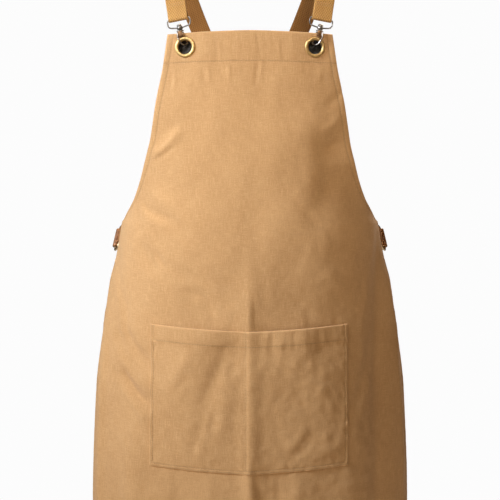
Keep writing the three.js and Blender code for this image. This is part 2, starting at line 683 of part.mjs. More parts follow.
// Tab: a strip doubled round the ring's near bar, with both ends behind the corner of the waist.
function tab() {
  const frame = ringFrame();
  const up = frame.up.clone().negate();
  const near = { ...frame, up, across: up.clone().cross(frame.out) };
  return band(hairpin(near, ringWire, tabWall, tabLength, frame.seat), tabWidth, tabWall);
}

// Strap from the bail over the shoulder to the ring on the other side. Over is 1 for the strap that lies
// outside at the crossing and -1 for the one inside.
function strap(over) {
  const boss = bossFrame();
  const bar = { ...boss, at: inFrame(boss, 0, bailDrop) };
  const straight = (from) => ({ ...from, at: inFrame(from, 0, strapTail), length: 0 });
  const start = hairpin(bar, bailWire, strapWall, strapTail, straight(bar));
  const near = ringFrame();
  const turn = THREE.MathUtils.degToRad(strapTurn);
  const away = near.up.clone().multiplyScalar(Math.cos(turn)).addScaledVector(near.out, -Math.sin(turn));
  const out = near.out.clone().multiplyScalar(Math.cos(turn)).addScaledVector(near.up, Math.sin(turn));
  const far = { at: inFrame(near, 0, ringGap + ringWire), up: away, out, across: away.clone().cross(out) };
  const end = hairpin(far, ringWire, strapWall, strapTail, straight(far)).reverse();
  for (const station of end) {
    for (const direction of [station.at, station.across, station.out]) direction.x *= -1;
  }
  const lay = (strapWall + clearance) * 0.8 * over;
  const reachAt = (depth) => depth * (depth < 0 ? frontReach : backReach);
  const upper = upperRoute.map((row) => ({
    at: vec(row.across * shoulderHalf, reachAt(row.depth), row.rise * shoulderRise),
    out: vec(...row.face),
  }));
  const crossing = upper.at(-1).at.clone();
  const lower = lowerRoute.map((row) => ({
    at: vec(mix(0, end[0].at.x, row.across), row.depth * backReach, mix(crossing.z, end[0].at.z, row.down)),
    out: vec(...row.face),
  }));
  const route = [start.at(-1), ...upper, ...lower, end[0]];
  route.slice(1, -1).forEach((row) => row.at.addScaledVector(row.out.normalize(), strapWall / 2));
  upper.at(-1).at.y += lay;
  const places = new THREE.CatmullRomCurve3(route.map((row) => row.at), false, 'centripetal');
  const faces = new THREE.CatmullRomCurve3(route.map((row) => row.out.clone()), false, 'centripetal');
  const count = strapCells * (route.length - 1);
  const free = Array.from({ length: count - 1 }, (_, k) => (k + 1) / count).map((t) => {
    const way = places.getPoint(t + 0.001).sub(places.getPoint(t - 0.001)).normalize();
    const across = way.clone().cross(faces.getPoint(t)).normalize();
    return { at: places.getPoint(t), across, out: across.clone().cross(way) };
  });
  return band([...start, ...free, ...end], strapWidth, strapWall);
}

// A copy on the other side of the apron's middle plane, with its faces still pointing out.
function mirrored(geometry) {
  const copy = geometry.clone().scale(-1, 1, 1);
  const corners = [...Array(copy.attributes.position.count).keys()];
  const index = copy.index ? Array.from(copy.index.array) : corners;
  for (let k = 0; k < index.length; k += 3) [index[k], index[k + 1]] = [index[k + 1], index[k]];
  return copy.setIndex(index);
}

// Right is the side of +X, and each strap has the name of the side where its hook is.
const apron = new THREE.Group();
apron.add(panel(), pocket());
const pairs = [
  ['eyelet', eyelet(), brassLook],
  ['eyelet_patch', eyeletPatch(), patchLook],
  ['swivel_bail', bail(), nickelLook],
  ['snap_hook', hook(), nickelLook],
  ['hook_gate', gate(), bronzeLook],
  ['waist_ring', ring(), brassLook],
  ['waist_tab', tab(), leatherLook],
];
for (const [name, geometry, look] of pairs) {
  apron.add(piece(`${name}_right`, geometry, look), piece(`${name}_left`, mirrored(geometry), look));
}
apron.add(piece('strap_right', strap(1), strapLook), piece('strap_left', mirrored(strap(-1)), strapLook));

export default apron;
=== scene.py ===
import math

import bpy
import numpy as np
from mathutils import Matrix, Vector


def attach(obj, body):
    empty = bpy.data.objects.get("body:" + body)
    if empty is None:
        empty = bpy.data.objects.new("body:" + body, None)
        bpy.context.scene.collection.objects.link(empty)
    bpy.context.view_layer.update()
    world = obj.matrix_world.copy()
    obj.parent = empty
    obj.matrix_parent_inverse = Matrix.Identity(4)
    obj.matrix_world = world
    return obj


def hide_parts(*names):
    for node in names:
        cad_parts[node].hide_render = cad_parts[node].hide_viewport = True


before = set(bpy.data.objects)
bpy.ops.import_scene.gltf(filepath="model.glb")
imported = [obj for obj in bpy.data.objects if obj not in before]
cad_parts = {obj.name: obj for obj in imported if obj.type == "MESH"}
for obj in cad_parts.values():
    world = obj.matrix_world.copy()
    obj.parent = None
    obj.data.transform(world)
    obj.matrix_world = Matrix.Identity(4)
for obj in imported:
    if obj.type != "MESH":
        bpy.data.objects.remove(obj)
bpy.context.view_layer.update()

# Camera: the photographer stands 2.17 m in front of the shoulders and looks level at the top of the
# pocket, through a long lens that crops the apron at its neck and below its pocket.
VIEW_ANGLE = 20.27
CAMERA_PLACE = (0.0, -2.170, -0.4858)
camera_data = bpy.data.cameras.new("studio_camera")
camera_data.lens_unit = "FOV"
camera_data.angle = math.radians(VIEW_ANGLE)
camera = bpy.data.objects.new("studio_camera", camera_data)
camera.location = CAMERA_PLACE
camera.rotation_euler = (math.radians(90), 0, 0)
bpy.context.scene.collection.objects.link(camera)
bpy.context.scene.camera = camera
bpy.context.scene.view_settings.view_transform = "Standard"

# Studio: a white room with two soft lamps on the left, weak ones above, on the right and behind. The room
# looks brighter than the light that it gives, and a pale, faintly glowing floor lies below the hem.
ROOM_WHITE = 0.975
ROOM_LIGHT = (0.068, 0.042, 0.024)
COOL, PLAIN, WARM = (0.95, 1.09, 1.34), (1.0, 0.91, 0.80), (1.0, 0.80, 0.60)
FLOOR_RADIUS = 2.6
FLOOR_HEIGHT = -1.35
FLOOR_WHITE = (0.86, 0.86, 0.85, 1)
FLOOR_GLOW = (1, 0.88, 0.76, 1)
FLOOR_GLOW_SHARE = 0.28


def build_room():
    world = bpy.data.worlds.new("white_room")
    world.use_nodes = True
    nodes, links = world.node_tree.nodes, world.node_tree.links
    nodes.clear()
    seen = nodes.new("ShaderNodeBackground")
    seen.inputs["Color"].default_value = (ROOM_WHITE, ROOM_WHITE, ROOM_WHITE, 1)
    given = nodes.new("ShaderNodeBackground")
    given.inputs["Color"].default_value = (*ROOM_LIGHT, 1)
    path = nodes.new("ShaderNodeLightPath")
    either = nodes.new("ShaderNodeMixShader")
    out = nodes.new("ShaderNodeOutputWorld")
    links.new(path.outputs["Is Camera Ray"], either.inputs["Fac"])
    links.new(given.outputs["Background"], either.inputs[1])
    links.new(seen.outputs["Background"], either.inputs[2])
    links.new(either.outputs["Shader"], out.inputs["Surface"])
    bpy.context.scene.world = world


def softbox(name, tint, place, target, size, power, spread=180):
    data = bpy.data.lights.new(name, "AREA")
    data.shape = "DISK"
    data.size = size
    data.energy = power
    data.color = tint
    data.spread = math.radians(spread)
    lamp = bpy.data.objects.new(name, data)
    lamp.location = place
    lamp.rotation_euler = (Vector(target) - Vector(place)).to_track_quat("-Z", "Y").to_euler()
    bpy.context.scene.collection.objects.link(lamp)


build_room()
softbox("lamp_left", COOL, (-1.95, -1.15, 0.85), (0.12, -0.05, -0.42), 0.8, 5.5, 46)
softbox("lamp_front", PLAIN, (-1.3, -2.0, 0.3), (-0.2, 0.0, -0.75), 0.8, 1.2, 40)
softbox("lamp_high", PLAIN, (0.5, -2.3, 1.5), (0.04, 0.0, -0.08), 0.8, 0.8, 14)
softbox("lamp_right", WARM, (2.3, -0.1, 0.1), (0.0, 0.0, -0.5), 0.9, 2.8)
softbox("lamp_back", PLAIN, (0.9, 2.4, 1.2), (0.0, 0.1, -0.4), 1.2, 9, 60)

bpy.ops.object.select_all(action="DESELECT")
bpy.ops.mesh.primitive_circle_add(
    vertices=96, radius=FLOOR_RADIUS, fill_type="NGON", location=(0, 0, FLOOR_HEIGHT)
)
floor = bpy.context.object
floor.name = "studio_floor"
floor_paint = bpy.data.materials.new("floor_paint")
floor_paint.use_nodes = True
floor_surface = floor_paint.node_tree.nodes["Principled BSDF"]
floor_surface.inputs["Base Color"].default_value = FLOOR_WHITE
floor_surface.inputs["Roughness"].default_value = 0.8
floor_surface.inputs["Emission Color"].default_value = FLOOR_GLOW
floor_surface.inputs["Emission Strength"].default_value = FLOOR_GLOW_SHARE
floor.data.materials.append(floor_paint)

# Apron panel: one piece of tan cotton canvas, cut with a narrow bib and curved armholes, hemmed all round
# with two turns of cloth and hung round a body that it touches at the chest and hips. Lengths here and
# below are in millimetres: drops run along the cloth from the top of the bib, and halves from its middle.
MM = 0.001
APRON_LENGTH = 860
WAIST_DROP = 288
WAIST_HALF = 270
CANVAS_WALL = 1.4
HEM_FOLD = 1.0
HEM_WALL = CANVAS_WALL + HEM_FOLD
TOP_HEM = 45
SIDE_HEM = 9.4
BOTTOM_HEM = 22
SIDE_LIFT = 25
FRONT_REACH = 100
SHOULDER_RISE = 160
CLEARANCE = 0.3
EYELET_HALF = 97
EYELET_DROP = 22
EYELET_BORE = 20.6
EYELET_FLANGE = 31
BARREL_WALL = 1.1
CANVAS_DARK = (0.475, 0.25, 0.093)
CANVAS = (0.585, 0.328, 0.134)
CANVAS_LIGHT = (0.70, 0.42, 0.19)
WARP_PITCH = 0.0009
WEFT_PITCH = 0.0010

# Share down the bib, half width as a share of WAIST_HALF, heading of the edge in degrees, how late the
# section turns, and lift of the edge as a share of SIDE_LIFT; then the same for the skirt.
HALF, TURN, BEND, LIFT = 1, 2, 3, 4
bib_sections = [
    (0.0, 0.46, 15, 1.4, -0.18),
    (0.15, 0.485, 18, 1.43, -0.1),
    (0.35, 0.533, 23, 1.49, 0.0),
    (0.56, 0.582, 32, 1.54, 0.05),
    (0.67, 0.622, 38, 1.57, 0.1),
    (0.77, 0.671, 47, 1.59, 0.15),
    (0.87, 0.75, 60, 1.62, 0.19),
    (0.93, 0.83, 70, 1.63, 0.22),
    (0.98, 0.94, 84, 1.65, 0.24),
    (1.0, 1.0, 90, 1.65, 0.25),
]
skirt_sections = [
    (0.0, 1.0, 90, 1.65, 0.25),
    (0.1, 1.006, 86, 1.68, 0.6),
    (0.2, 1.034, 82, 1.71, 0.88),
    (0.32, 1.055, 79, 1.75, 1.0),
    (0.48, 1.082, 76, 1.8, 1.0),
    (0.7, 1.106, 76, 1.8, 1.0),
    (1.0, 1.12, 78, 1.8, 1.0),
]

# Folds of the cloth, each a soft ridge or valley from one point to another: along and drop of its start,
# along and drop of its end, width to the side, and height.
main_folds = [
    (-148, 187, -104, 148, 13.5, 1.75),
    (-148, 172, -109, 139, 13.5, -1.5),
    (-162, 259, -96, 306, 13.5, -2.0),
    (-148, 248, -89, 289, 13.5, 1.5),
    (-178, 327, -146, 361, 16, -2.5),
    (-96, 398, -51, 425, 13.5, -2.0),
    (0, 398, 0, 877, 13.5, 3.0),
    (-227, 472, -153, 528, 13.5, -3.0),
    (-227, 503, -154, 550, 13.5, 2.0),
    (-216, 531, -153, 569, 13.5, -3.0),
    (-262, 470, -268, 900, 9.0, 3.2),
    (238, 310, 216, 550, 16, -3.5),
    (216, 533, 213, 877, 19, -4.0),
    (259, 430, 256, 731, 13.5, 2.0),
    (116, 150, 122, 250, 20.0, -2.0),
    (-108, 679, -121, 877, 24.3, -4.0),
    (-184, 619, -194, 877, 21.6, 4.0),
    (81, 679, 89, 877, 24.3, 3.5),
    (27, 679, 38, 877, 16.2, -2.5),
]

# Smaller creases in the same form, which wander a little: below the facing, at the armholes, round the
# pocket and low on both sides.
small_folds = [
    (-115, 44, -113, 88, 4.5, 0.6),
    (-121, 44, -120, 80, 4.0, -0.6),
    (-74, 50, -72, 72, 3.5, -0.7),
    (-69, 50, -66, 76, 4.0, 0.5),
    (-30, 50, -31, 74, 3.5, 0.6),
    (7, 50, 6, 80, 3.5, -0.7),
    (12, 50, 12, 70, 3.5, 0.5),
    (78, 50, 77, 66, 3.5, -0.5),
    (104, 48, 103, 70, 4.5, 0.5),
    (110, 48, 110, 76, 4.5, -0.4),
    (10, 8, 11, 38, 2.5, -0.35),
    (44, 10, 46, 36, 2.5, 0.35),
    (-46, 8, -44, 34, 3.0, 0.25),
    (-148, 184, -108, 150, 7.0, 1.0),
    (-148, 192, -118, 172, 4.5, -1.0),
    (-146, 172, -122, 158, 4.0, -0.7),
    (-139, 118, -124, 138, 5.0, 0.6),
    (138, 90, 118, 112, 6.0, -0.8),
    (140, 128, 112, 150, 7.0, 0.9),
    (144, 160, 120, 175, 6.0, -0.9),
    (148, 205, 128, 196, 6.0, 0.8),
    (-172, 258, -128, 284, 5.0, -1.3),
    (-170, 272, -110, 306, 7.0, 1.1),
    (-150, 330, -132, 352, 6.0, -1.2),
    (-96, 392, -52, 418, 5.0, -0.8),
    (-100, 404, -60, 436, 5.5, 0.8),
    (6, 398, 5, 444, 3.5, -1.0),
    (0, 398, -1, 444, 3.5, 0.7),
    (60, 405, 96, 436, 8.0, -0.8),
    (120, 360, 150, 395, 9.0, 0.9),
    (-208, 466, -160, 506, 7.0, -1.6),
    (-212, 486, -158, 532, 7.0, 1.4),
    (-212, 520, -160, 572, 7.0, -1.7),
    (-210, 548, -160, 596, 8.0, 1.5),
    (-246, 350, -205, 470, 12.0, -1.4),
    (-240, 380, -214, 480, 7.0, 0.9),
    (9, 662, 14, 760, 5.0, -1.6),
    (-3, 662, -3, 800, 6.0, 1.0),
    (44, 664, 38, 720, 6.0, -1.1),
    (76, 668, 70, 720, 9.0, 1.2),
    (-60, 664, -66, 730, 8.0, 0.8),
    (196, 380, 178, 500, 9.0, 1.0),
    (205, 480, 176, 560, 8.0, -1.2),
    (190, 560, 168, 640, 9.0, 1.0),
    (268, 380, 270, 700, 8.0, 1.6),
    (270, 600, 275, 900, 8.0, 1.4),
    (-272, 360, -276, 860, 5.0, 0.9),
    (-120, 352, -60, 384, 9.0, -0.8),
    (-40, 250, -110, 300, 11.0, -0.6),
    (60, 250, 130, 300, 11.0, -0.7),
]


def column(rows, item, at):
    """One column of a table of sections at any share down it, by a monotone cubic through its rows."""
    share = np.array([row[0] for row in rows], float)
    value = np.array([row[item] for row in rows], float)
    slope = np.diff(value) / np.diff(share)
    before, after = np.append(slope[0], slope), np.append(slope, slope[-1])
    total = np.where(before + after == 0, 1, before + after)
    tangent = np.where(before * after > 0, 2 * before * after / total, 0)
    k = np.clip(np.searchsorted(share, at, side="right") - 1, 0, len(share) - 2)
    span = share[k + 1] - share[k]
    t = np.clip((at - share[k]) / span, 0, 1)
    start = value[k] * (1 + 2 * t) * (1 - t) ** 2 + tangent[k] * span * t * (1 - t) ** 2
    return start + value[k + 1] * t * t * (3 - 2 * t) - tangent[k + 1] * span * t * t * (1 - t)


def section_at(drop, item):
    drop = np.asarray(drop, float)
    bib = column(bib_sections, item, drop / WAIST_DROP)
    skirt = column(skirt_sections, item, (drop - WAIST_DROP) / (APRON_LENGTH - WAIST_DROP))
    return np.where(drop < WAIST_DROP, bib, skirt)


def half_at(drop):
    return WAIST_HALF * section_at(drop, HALF)


def wrapped(along, drop):
    """Place on the smooth surface round the body, before any fold."""
    share = np.abs(along) / half_at(drop)
    turn, bend = np.radians(section_at(drop, TURN)), section_at(drop, BEND)
    x, y = 0.0, 0.0
    steps = 16
    for k in range(steps):
        heading = turn * (share * (k + 0.5) / steps) ** bend
        x = x + np.cos(heading) * np.abs(along) / steps
        y = y + np.sin(heading) * np.abs(along) / steps
    lift = SIDE_LIFT * section_at(drop, LIFT) * share**1.4
    return np.stack([np.sign(along) * x, y - FRONT_REACH, lift - drop - SHOULDER_RISE], axis=-1)


def unit(way):
    return way / np.linalg.norm(way, axis=-1, keepdims=True)


def cloth_frame(along, drop):
    """Place, and the directions across, up and out of the cloth there."""
    along, drop = np.asarray(along, float), np.asarray(drop, float)
    step = 2.0
    across = unit(wrapped(along + step, drop) - wrapped(along - step, drop))
    up = unit(wrapped(along, np.maximum(drop - step, 0)) - wrapped(along, drop + step))
    return {"at": wrapped(along, drop), "across": across, "up": up, "out": unit(np.cross(across, up))}


def smooth(value, low, high):
    t = np.clip((value - low) / (high - low), 0, 1)
    return t * t * (3 - 2 * t)


def relief(folds, along, drop):
    """Height of a list of folds: a bell across each fold's line that fades out at its ends."""
    height = np.zeros(np.broadcast(along, drop).shape)
    for from_along, from_drop, to_along, to_drop, width, rise in folds:
        run = np.array([to_along - from_along, to_drop - from_drop], float)
        length = math.hypot(*run)
        share = ((along - from_along) * run[0] + (drop - from_drop) * run[1]) / length**2
        aside = ((along - from_along) * run[1] - (drop - from_drop) * run[0]) / length / width
        fade = smooth(share, -0.25, 0.25) * (1 - smooth(share, 0.75, 1.25))
        height = height + rise * fade * np.exp(-(aside**2))
    return height


def ripples(along, drop, shortest, longest, seed, count=36):
    """Even random waves between two wave lengths, from -1 to 1 or so."""
    draw = np.random.default_rng(seed)
    height = 0.0
    for _ in range(count):
        number = 2 * math.pi / draw.uniform(shortest, longest)
        angle, phase = draw.uniform(0, math.pi), draw.uniform(0, 2 * math.pi)
        height = height + np.cos(number * (along * math.cos(angle) + drop * math.sin(angle)) + phase)
    return height / math.sqrt(count / 2)


# The skirt falls inwards from a soft ridge down its middle, and the right side of the bib is turned back.
LEFT_FALL = 6.0
RIGHT_FALL = 12.5
LEFT_FALL_REACH = 48
RIGHT_FALL_REACH = 62
FALL_START = 290
FALL_FULL = 450
RIDGE_ROUND = 4
TURNED_BACK = 7.0
TURNED_BACK_DROP = 205
MAIN_RISE = 1.3
SMALL_RISE = 1.7


def rumple(along, drop):
    """Folds and rumples of worn canvas, strongest low on the right and weak in the faced top band."""
    stray = ripples(along, drop, 60, 140, 11) * 2.5
    askew = ripples(along, drop, 60, 140, 12) * 2.5
    edge = np.abs(along) / half_at(drop)
    below_facing = 0.25 + 0.75 * smooth(drop, TOP_HEM * 0.8, TOP_HEM * 1.6)
    calm = below_facing * (1 - 0.9 * smooth(edge, 0.7, 0.93))
    low_right = smooth(drop, 250, 640) * (0.45 + 0.55 * smooth(along, -120, 180))
    height = MAIN_RISE * relief(main_folds, along, drop)
    height = height + SMALL_RISE * relief(small_folds, along + stray, drop + askew)
    turned_back = smooth(along + 0.25 * np.abs(drop - TURNED_BACK_DROP), 90, 138) * smooth(drop, 140, 185)
    turned_back = turned_back * (1 - smooth(drop, 215, 300)) * (1 - 0.75 * smooth(edge, 0.82, 1))
    height = height - TURNED_BACK * turned_back
    fall = np.where(along > 0, RIGHT_FALL, LEFT_FALL)
    reach = np.where(along > 0, RIGHT_FALL_REACH, LEFT_FALL_REACH)
    fall = fall * smooth(drop, FALL_START, FALL_FULL) * (1 - smooth(edge, 0.72, 1))
    height = height + fall * (np.exp(-np.hypot(along, RIDGE_ROUND) / reach) - 1)
    height = height + calm * 0.5 * ripples(along, drop, 45, 110, 21)
    height = height + calm * (0.1 + 0.16 * low_right) * ripples(along, drop, 13, 30, 22, 60)
    creases = 1 - np.abs(ripples(along, drop, 30, 70, 23, 48))
    return height + calm * (0.2 + 0.5 * low_right) * np.maximum(creases, 0) ** 3


def flatness(along, drop):
    """Share by which an eyelet holds the cloth flat."""
    away = np.hypot(np.abs(along) - EYELET_HALF, drop - EYELET_DROP)
    return 1 - smooth(away, EYELET_FLANGE * 0.9, EYELET_FLANGE * 1.7)


def on_panel(along, drop, outwards, folds=rumple):
    """Place on the front of the panel, moved outwards."""
    place = cloth_frame(along, drop)
    flat = flatness(along, drop)[..., None]
    left = cloth_frame(-EYELET_HALF, EYELET_DROP)
    right = cloth_frame(EYELET_HALF, EYELET_DROP)
    on_left = (np.asarray(along) < 0)[..., None]
    eyelet_at = np.where(on_left, left["at"], right["at"])
    eyelet_out = np.where(on_left, left["out"], right["out"])
    proud = np.sum((place["at"] - eyelet_at) * eyelet_out, axis=-1, keepdims=True)
    out = unit(place["out"] * (1 - flat) + eyelet_out * flat)
    height = (1 - flat) * folds(along, drop)[..., None] + np.asarray(outwards)[..., None]
    return place["at"] - eyelet_out * proud * flat + out * height


def cloth_object(name, outer, inner, along, drop, kept=None, worn_and_lit=None, painted_seam_shade=None):
    """A closed sheet from two grids of places. Cells that aren't kept are left out, and every open edge
    gets a wall. The UV map is the cut cloth in metres. Two marks may be stored: one at the edges, where the
    cloth is lightened for wear and as a painted highlight, and one along the sewn lines, darkened as
    painted shade."""
    rows, columns = along.shape
    kept = np.ones((rows - 1, columns - 1), bool) if kept is None else kept
    number = np.arange(rows * columns).reshape(rows, columns)
    under = number + rows * columns
    front = np.stack([number[:-1, :-1], number[1:, :-1], number[1:, 1:], number[:-1, 1:]], -1)[kept]
    back = np.stack([under[:-1, :-1], under[:-1, 1:], under[1:, 1:], under[1:, :-1]], -1)[kept]
    room = np.pad(kept, 1)
    walls = []
    for j, i in np.argwhere(kept):
        a, b, c, d = number[j, i], number[j + 1, i], number[j + 1, i + 1], number[j, i + 1]
        beside = (room[j + 1, i], room[j + 2, i + 1], room[j + 1, i + 2], room[j, i + 1])
        for is_joined, start, end in zip(beside, (a, b, c, d), (b, c, d, a)):
            if not is_joined:
                below = rows * columns
                walls.append((start, start + below, end + below, end))
    faces = [tuple(face) for face in np.concatenate([front, back, np.array(walls)]).tolist()]
    used = np.unique(np.array(faces))
    slim = np.full(2 * rows * columns, -1)
    slim[used] = np.arange(len(used))
    places = np.concatenate([outer.reshape(-1, 3), inner.reshape(-1, 3)])[used] * MM
    mesh = bpy.data.meshes.new(name)
    mesh.from_pydata(places.tolist(), [], [tuple(slim[list(face)].tolist()) for face in faces])
    flat = np.stack([along.ravel(), -drop.ravel()], -1)
    flat = np.concatenate([flat, flat])[used] * MM
    corner = np.zeros(len(mesh.loops), np.int32)
    mesh.loops.foreach_get("vertex_index", corner)
    mesh.uv_layers.new(name="cut_cloth").data.foreach_set("uv", flat[corner].ravel())
    for mark, share in (("worn_and_lit", worn_and_lit), ("painted_seam_shade", painted_seam_shade)):
        if share is not None:
            both = np.concatenate([share.ravel(), share.ravel()])[used]
            mesh.attributes.new(mark, "FLOAT", "POINT").data.foreach_set("value", both)
    mesh.polygons.foreach_set("use_smooth", [True] * len(mesh.polygons))
    sheet = bpy.data.objects.new(name, mesh)
    bpy.context.scene.collection.objects.link(sheet)
    return sheet


def shader(name, colour, roughness, metallic=0.0):
    """A new material with its node tree, its surface shader and its link function."""
    material = bpy.data.materials.new(name)
    material.use_nodes = True
    tree = material.node_tree
    surface = tree.nodes["Principled BSDF"]
    surface.inputs["Base Color"].default_value = (*colour, 1)
    surface.inputs["Roughness"].default_value = roughness
    surface.inputs["Metallic"].default_value = metallic
    return material, tree, surface


def spread_noise(tree, coordinates, scale, detail, roughness=0.5):
    """Noise on a mapped coordinate; scale gives its grains to a metre along each axis."""
    mapping = tree.nodes.new("ShaderNodeMapping")
    mapping.inputs["Scale"].default_value = scale
    noise = tree.nodes.new("ShaderNodeTexNoise")
    noise.inputs["Scale"].default_value = 1.0
    noise.inputs["Detail"].default_value = detail
    noise.inputs["Roughness"].default_value = roughness
    tree.links.new(coordinates, mapping.inputs["Vector"])
    tree.links.new(mapping.outputs["Vector"], noise.inputs["Vector"])
    return noise.outputs["Fac"]


def ribs(tree, coordinates, direction, pitch):
    """Rounded ribs of a weave, a pitch apart, along the sum of the given shares of U and V."""
    middle = tree.nodes.new("ShaderNodeVectorMath")
    middle.operation = "DOT_PRODUCT"
    middle.inputs[1].default_value = (direction[0], direction[1], 0)
    turn = tree.nodes.new("ShaderNodeMath")
    turn.operation = "MULTIPLY"
    turn.inputs[1].default_value = 2 * math.pi / pitch
    wave = tree.nodes.new("ShaderNodeMath")
    wave.operation = "SINE"
    even = tree.nodes.new("ShaderNodeMath")
    even.operation = "MULTIPLY_ADD"
    even.inputs[1].default_value = 0.5
    even.inputs[2].default_value = 0.5
    tree.links.new(coordinates, middle.inputs[0])
    tree.links.new(middle.outputs["Value"], turn.inputs[0])
    tree.links.new(turn.outputs["Value"], wave.inputs[0])
    tree.links.new(wave.outputs["Value"], even.inputs[0])
    return even.outputs["Value"]


def blended(tree, share, first, second, mode="MIX"):
    """Two colours mixed by a share, or the first one multiplied by the second."""
    node = tree.nodes.new("ShaderNodeMix")
    node.data_type = "RGBA"
    node.blend_type = mode
    for socket, value in ((0, share), (6, first), (7, second)):
        if hasattr(value, "is_linked"):
            tree.links.new(value, node.inputs[socket])
        else:
            node.inputs[socket].default_value = (*value, 1)
    return node.outputs[2]


def ramp(tree, value, low, high, most=1.0):
    """A value stretched from low..high to 0..most."""
    node = tree.nodes.new("ShaderNodeMapRange")
    node.inputs["From Min"].default_value = low
    node.inputs["From Max"].default_value = high
    node.inputs["To Max"].default_value = most
    tree.links.new(value, node.inputs["Value"])
    return node.outputs["Result"]


def bumped(tree, surface, heights):
    """Bumps laid over each other, each with its height in metres."""
    below = None
    for height, rise in heights:
        bump = tree.nodes.new("ShaderNodeBump")
        bump.inputs["Strength"].default_value = 1.0
        bump.inputs["Distance"].default_value = rise
        tree.links.new(height, bump.inputs["Height"])
        if below is not None:
            tree.links.new(below, bump.inputs["Normal"])
        below = bump.outputs["Normal"]
    tree.links.new(below, surface.inputs["Normal"])


def cut_cloth_map(tree):
    """Place on the flat cloth or band, across and along it in metres."""
    cut = tree.nodes.new("ShaderNodeUVMap")
    cut.uv_map = "cut_cloth"
    return cut.outputs["UV"]


def canvas_cloth(name, dark, middle, light):
    """Plain canvas of uneven cotton yarn: long slubs down the cloth, shorter ones across, a fine weave,
    and a tone that wanders from place to place."""
    material, tree, surface = shader(name, middle, 0.92)
    flat = cut_cloth_map(tree)
    warp = spread_noise(tree, flat, (900, 60, 1), 3, 0.6)
    weft = spread_noise(tree, flat, (70, 900, 1), 3, 0.6)
    patches = spread_noise(tree, flat, (15, 11, 1), 3, 0.55)
    specks = spread_noise(tree, flat, (620, 560, 1), 2, 0.6)
    tone = blended(tree, ramp(tree, patches, 0.35, 0.65, 0.5), middle, dark)
    tone = blended(tree, ramp(tree, warp, 0.45, 0.7, 0.7), tone, light)
    tone = blended(tree, ramp(tree, weft, 0.45, 0.7, 0.6), tone, light)
    tone = blended(tree, ramp(tree, specks, 0.45, 0.7, 0.5), tone, dark)
    # Painted shade: the sewn lines are darkened towards this colour.
    shade = tuple(0.62 * part for part in dark)
    # Wear and painted highlight: the cut and folded edges are lightened towards this colour.
    rubbed_and_lit = tuple(min(1.3 * part, 1) for part in light)
    for mark, paint in (("painted_seam_shade", shade), ("worn_and_lit", rubbed_and_lit)):
        place = tree.nodes.new("ShaderNodeAttribute")
        place.attribute_name = mark
        uneven = tree.nodes.new("ShaderNodeMath")
        uneven.operation = "MULTIPLY"
        tree.links.new(place.outputs["Fac"], uneven.inputs[0])
        tree.links.new(ramp(tree, specks, 0.25, 0.6), uneven.inputs[1])
        tone = blended(tree, uneven.outputs["Value"], tone, paint)
    tree.links.new(tone, surface.inputs["Base Color"])
    surface.inputs["Sheen Weight"].default_value = 0.12
    surface.inputs["Sheen Roughness"].default_value = 0.5
    surface.inputs["Specular IOR Level"].default_value = 0.2
    weave = tree.nodes.new("ShaderNodeMath")
    weave.operation = "MULTIPLY"
    tree.links.new(ribs(tree, flat, (1, 0), WARP_PITCH), weave.inputs[0])
    tree.links.new(ribs(tree, flat, (0, 1), WEFT_PITCH), weave.inputs[1])
    crumple = spread_noise(tree, flat, (34, 26, 1), 2, 0.45)
    bumped(tree, surface, [
        (crumple, 0.0013),
        (warp, 0.0002),
        (weft, 0.0002),
        (weave.outputs["Value"], 0.0001),
    ])
    return material


def hem_puff(edge, sewn_at, along_edge, seed):
    """Height of a sewn hem: it is rounded off at the edge, puffs between edge and stitches, dips where
    the thread pulls it in, and puckers a little from stitch to stitch."""
    pucker = ripples(along_edge, edge * 0.2, 7, 16, seed, 30)
    inside = np.clip(edge / sewn_at, 0, 1)
    puff = np.where(edge < sewn_at, 0.3 * np.sin(math.pi * inside) * (1 + 0.4 * pucker), 0)
    groove = -(0.3 + 0.08 * pucker) * np.exp(-(((edge - sewn_at) / 0.9) ** 2))
    beyond = 0.2 * pucker * np.exp(-np.maximum(edge - sewn_at, 0) / 6) * (edge > sewn_at)
    return puff + groove + beyond


def rounded_edge(edge, wall):
    """How far a face draws back towards the middle of the wall beside a cut or folded edge."""
    reach = np.clip(1 - edge / (wall * 0.75), 0, 1)
    return wall * 0.46 * (1 - np.sqrt(1 - reach**2))


side_steps = np.array([0, 0.5, 1.2, 2.6, 5, 7.4, 8.6, 9.4, 10.2, 11.6, 14, 17])
inner_share = np.linspace(-1, 1, 125)[1:-1]
top_steps = [0, 0.5, 1.2, 2.6]
row_drops = np.concatenate([
    top_steps,
    np.arange(5, TOP_HEM - 2, 3.0),
    [TOP_HEM - 1.6, TOP_HEM - 0.8, TOP_HEM, TOP_HEM + 0.8, TOP_HEM + 1.8],
    np.arange(TOP_HEM + 4.2, APRON_LENGTH - BOTTOM_HEM - 3, 3.55),
    [APRON_LENGTH - BOTTOM_HEM + shift for shift in (-1.8, -0.8, 0, 0.8, 1.8)],
    np.arange(APRON_LENGTH - BOTTOM_HEM + 4, APRON_LENGTH - 4, 3.4),
    [APRON_LENGTH - step for step in reversed(top_steps)],
])
edge_half = half_at(row_drops)[:, None]
inner_half = edge_half - side_steps[-1]
panel_along = np.concatenate(
    [side_steps - edge_half, inner_half * inner_share, (edge_half - side_steps)[:, ::-1]], axis=1
)
panel_drop = np.repeat(row_drops[:, None], panel_along.shape[1], axis=1)

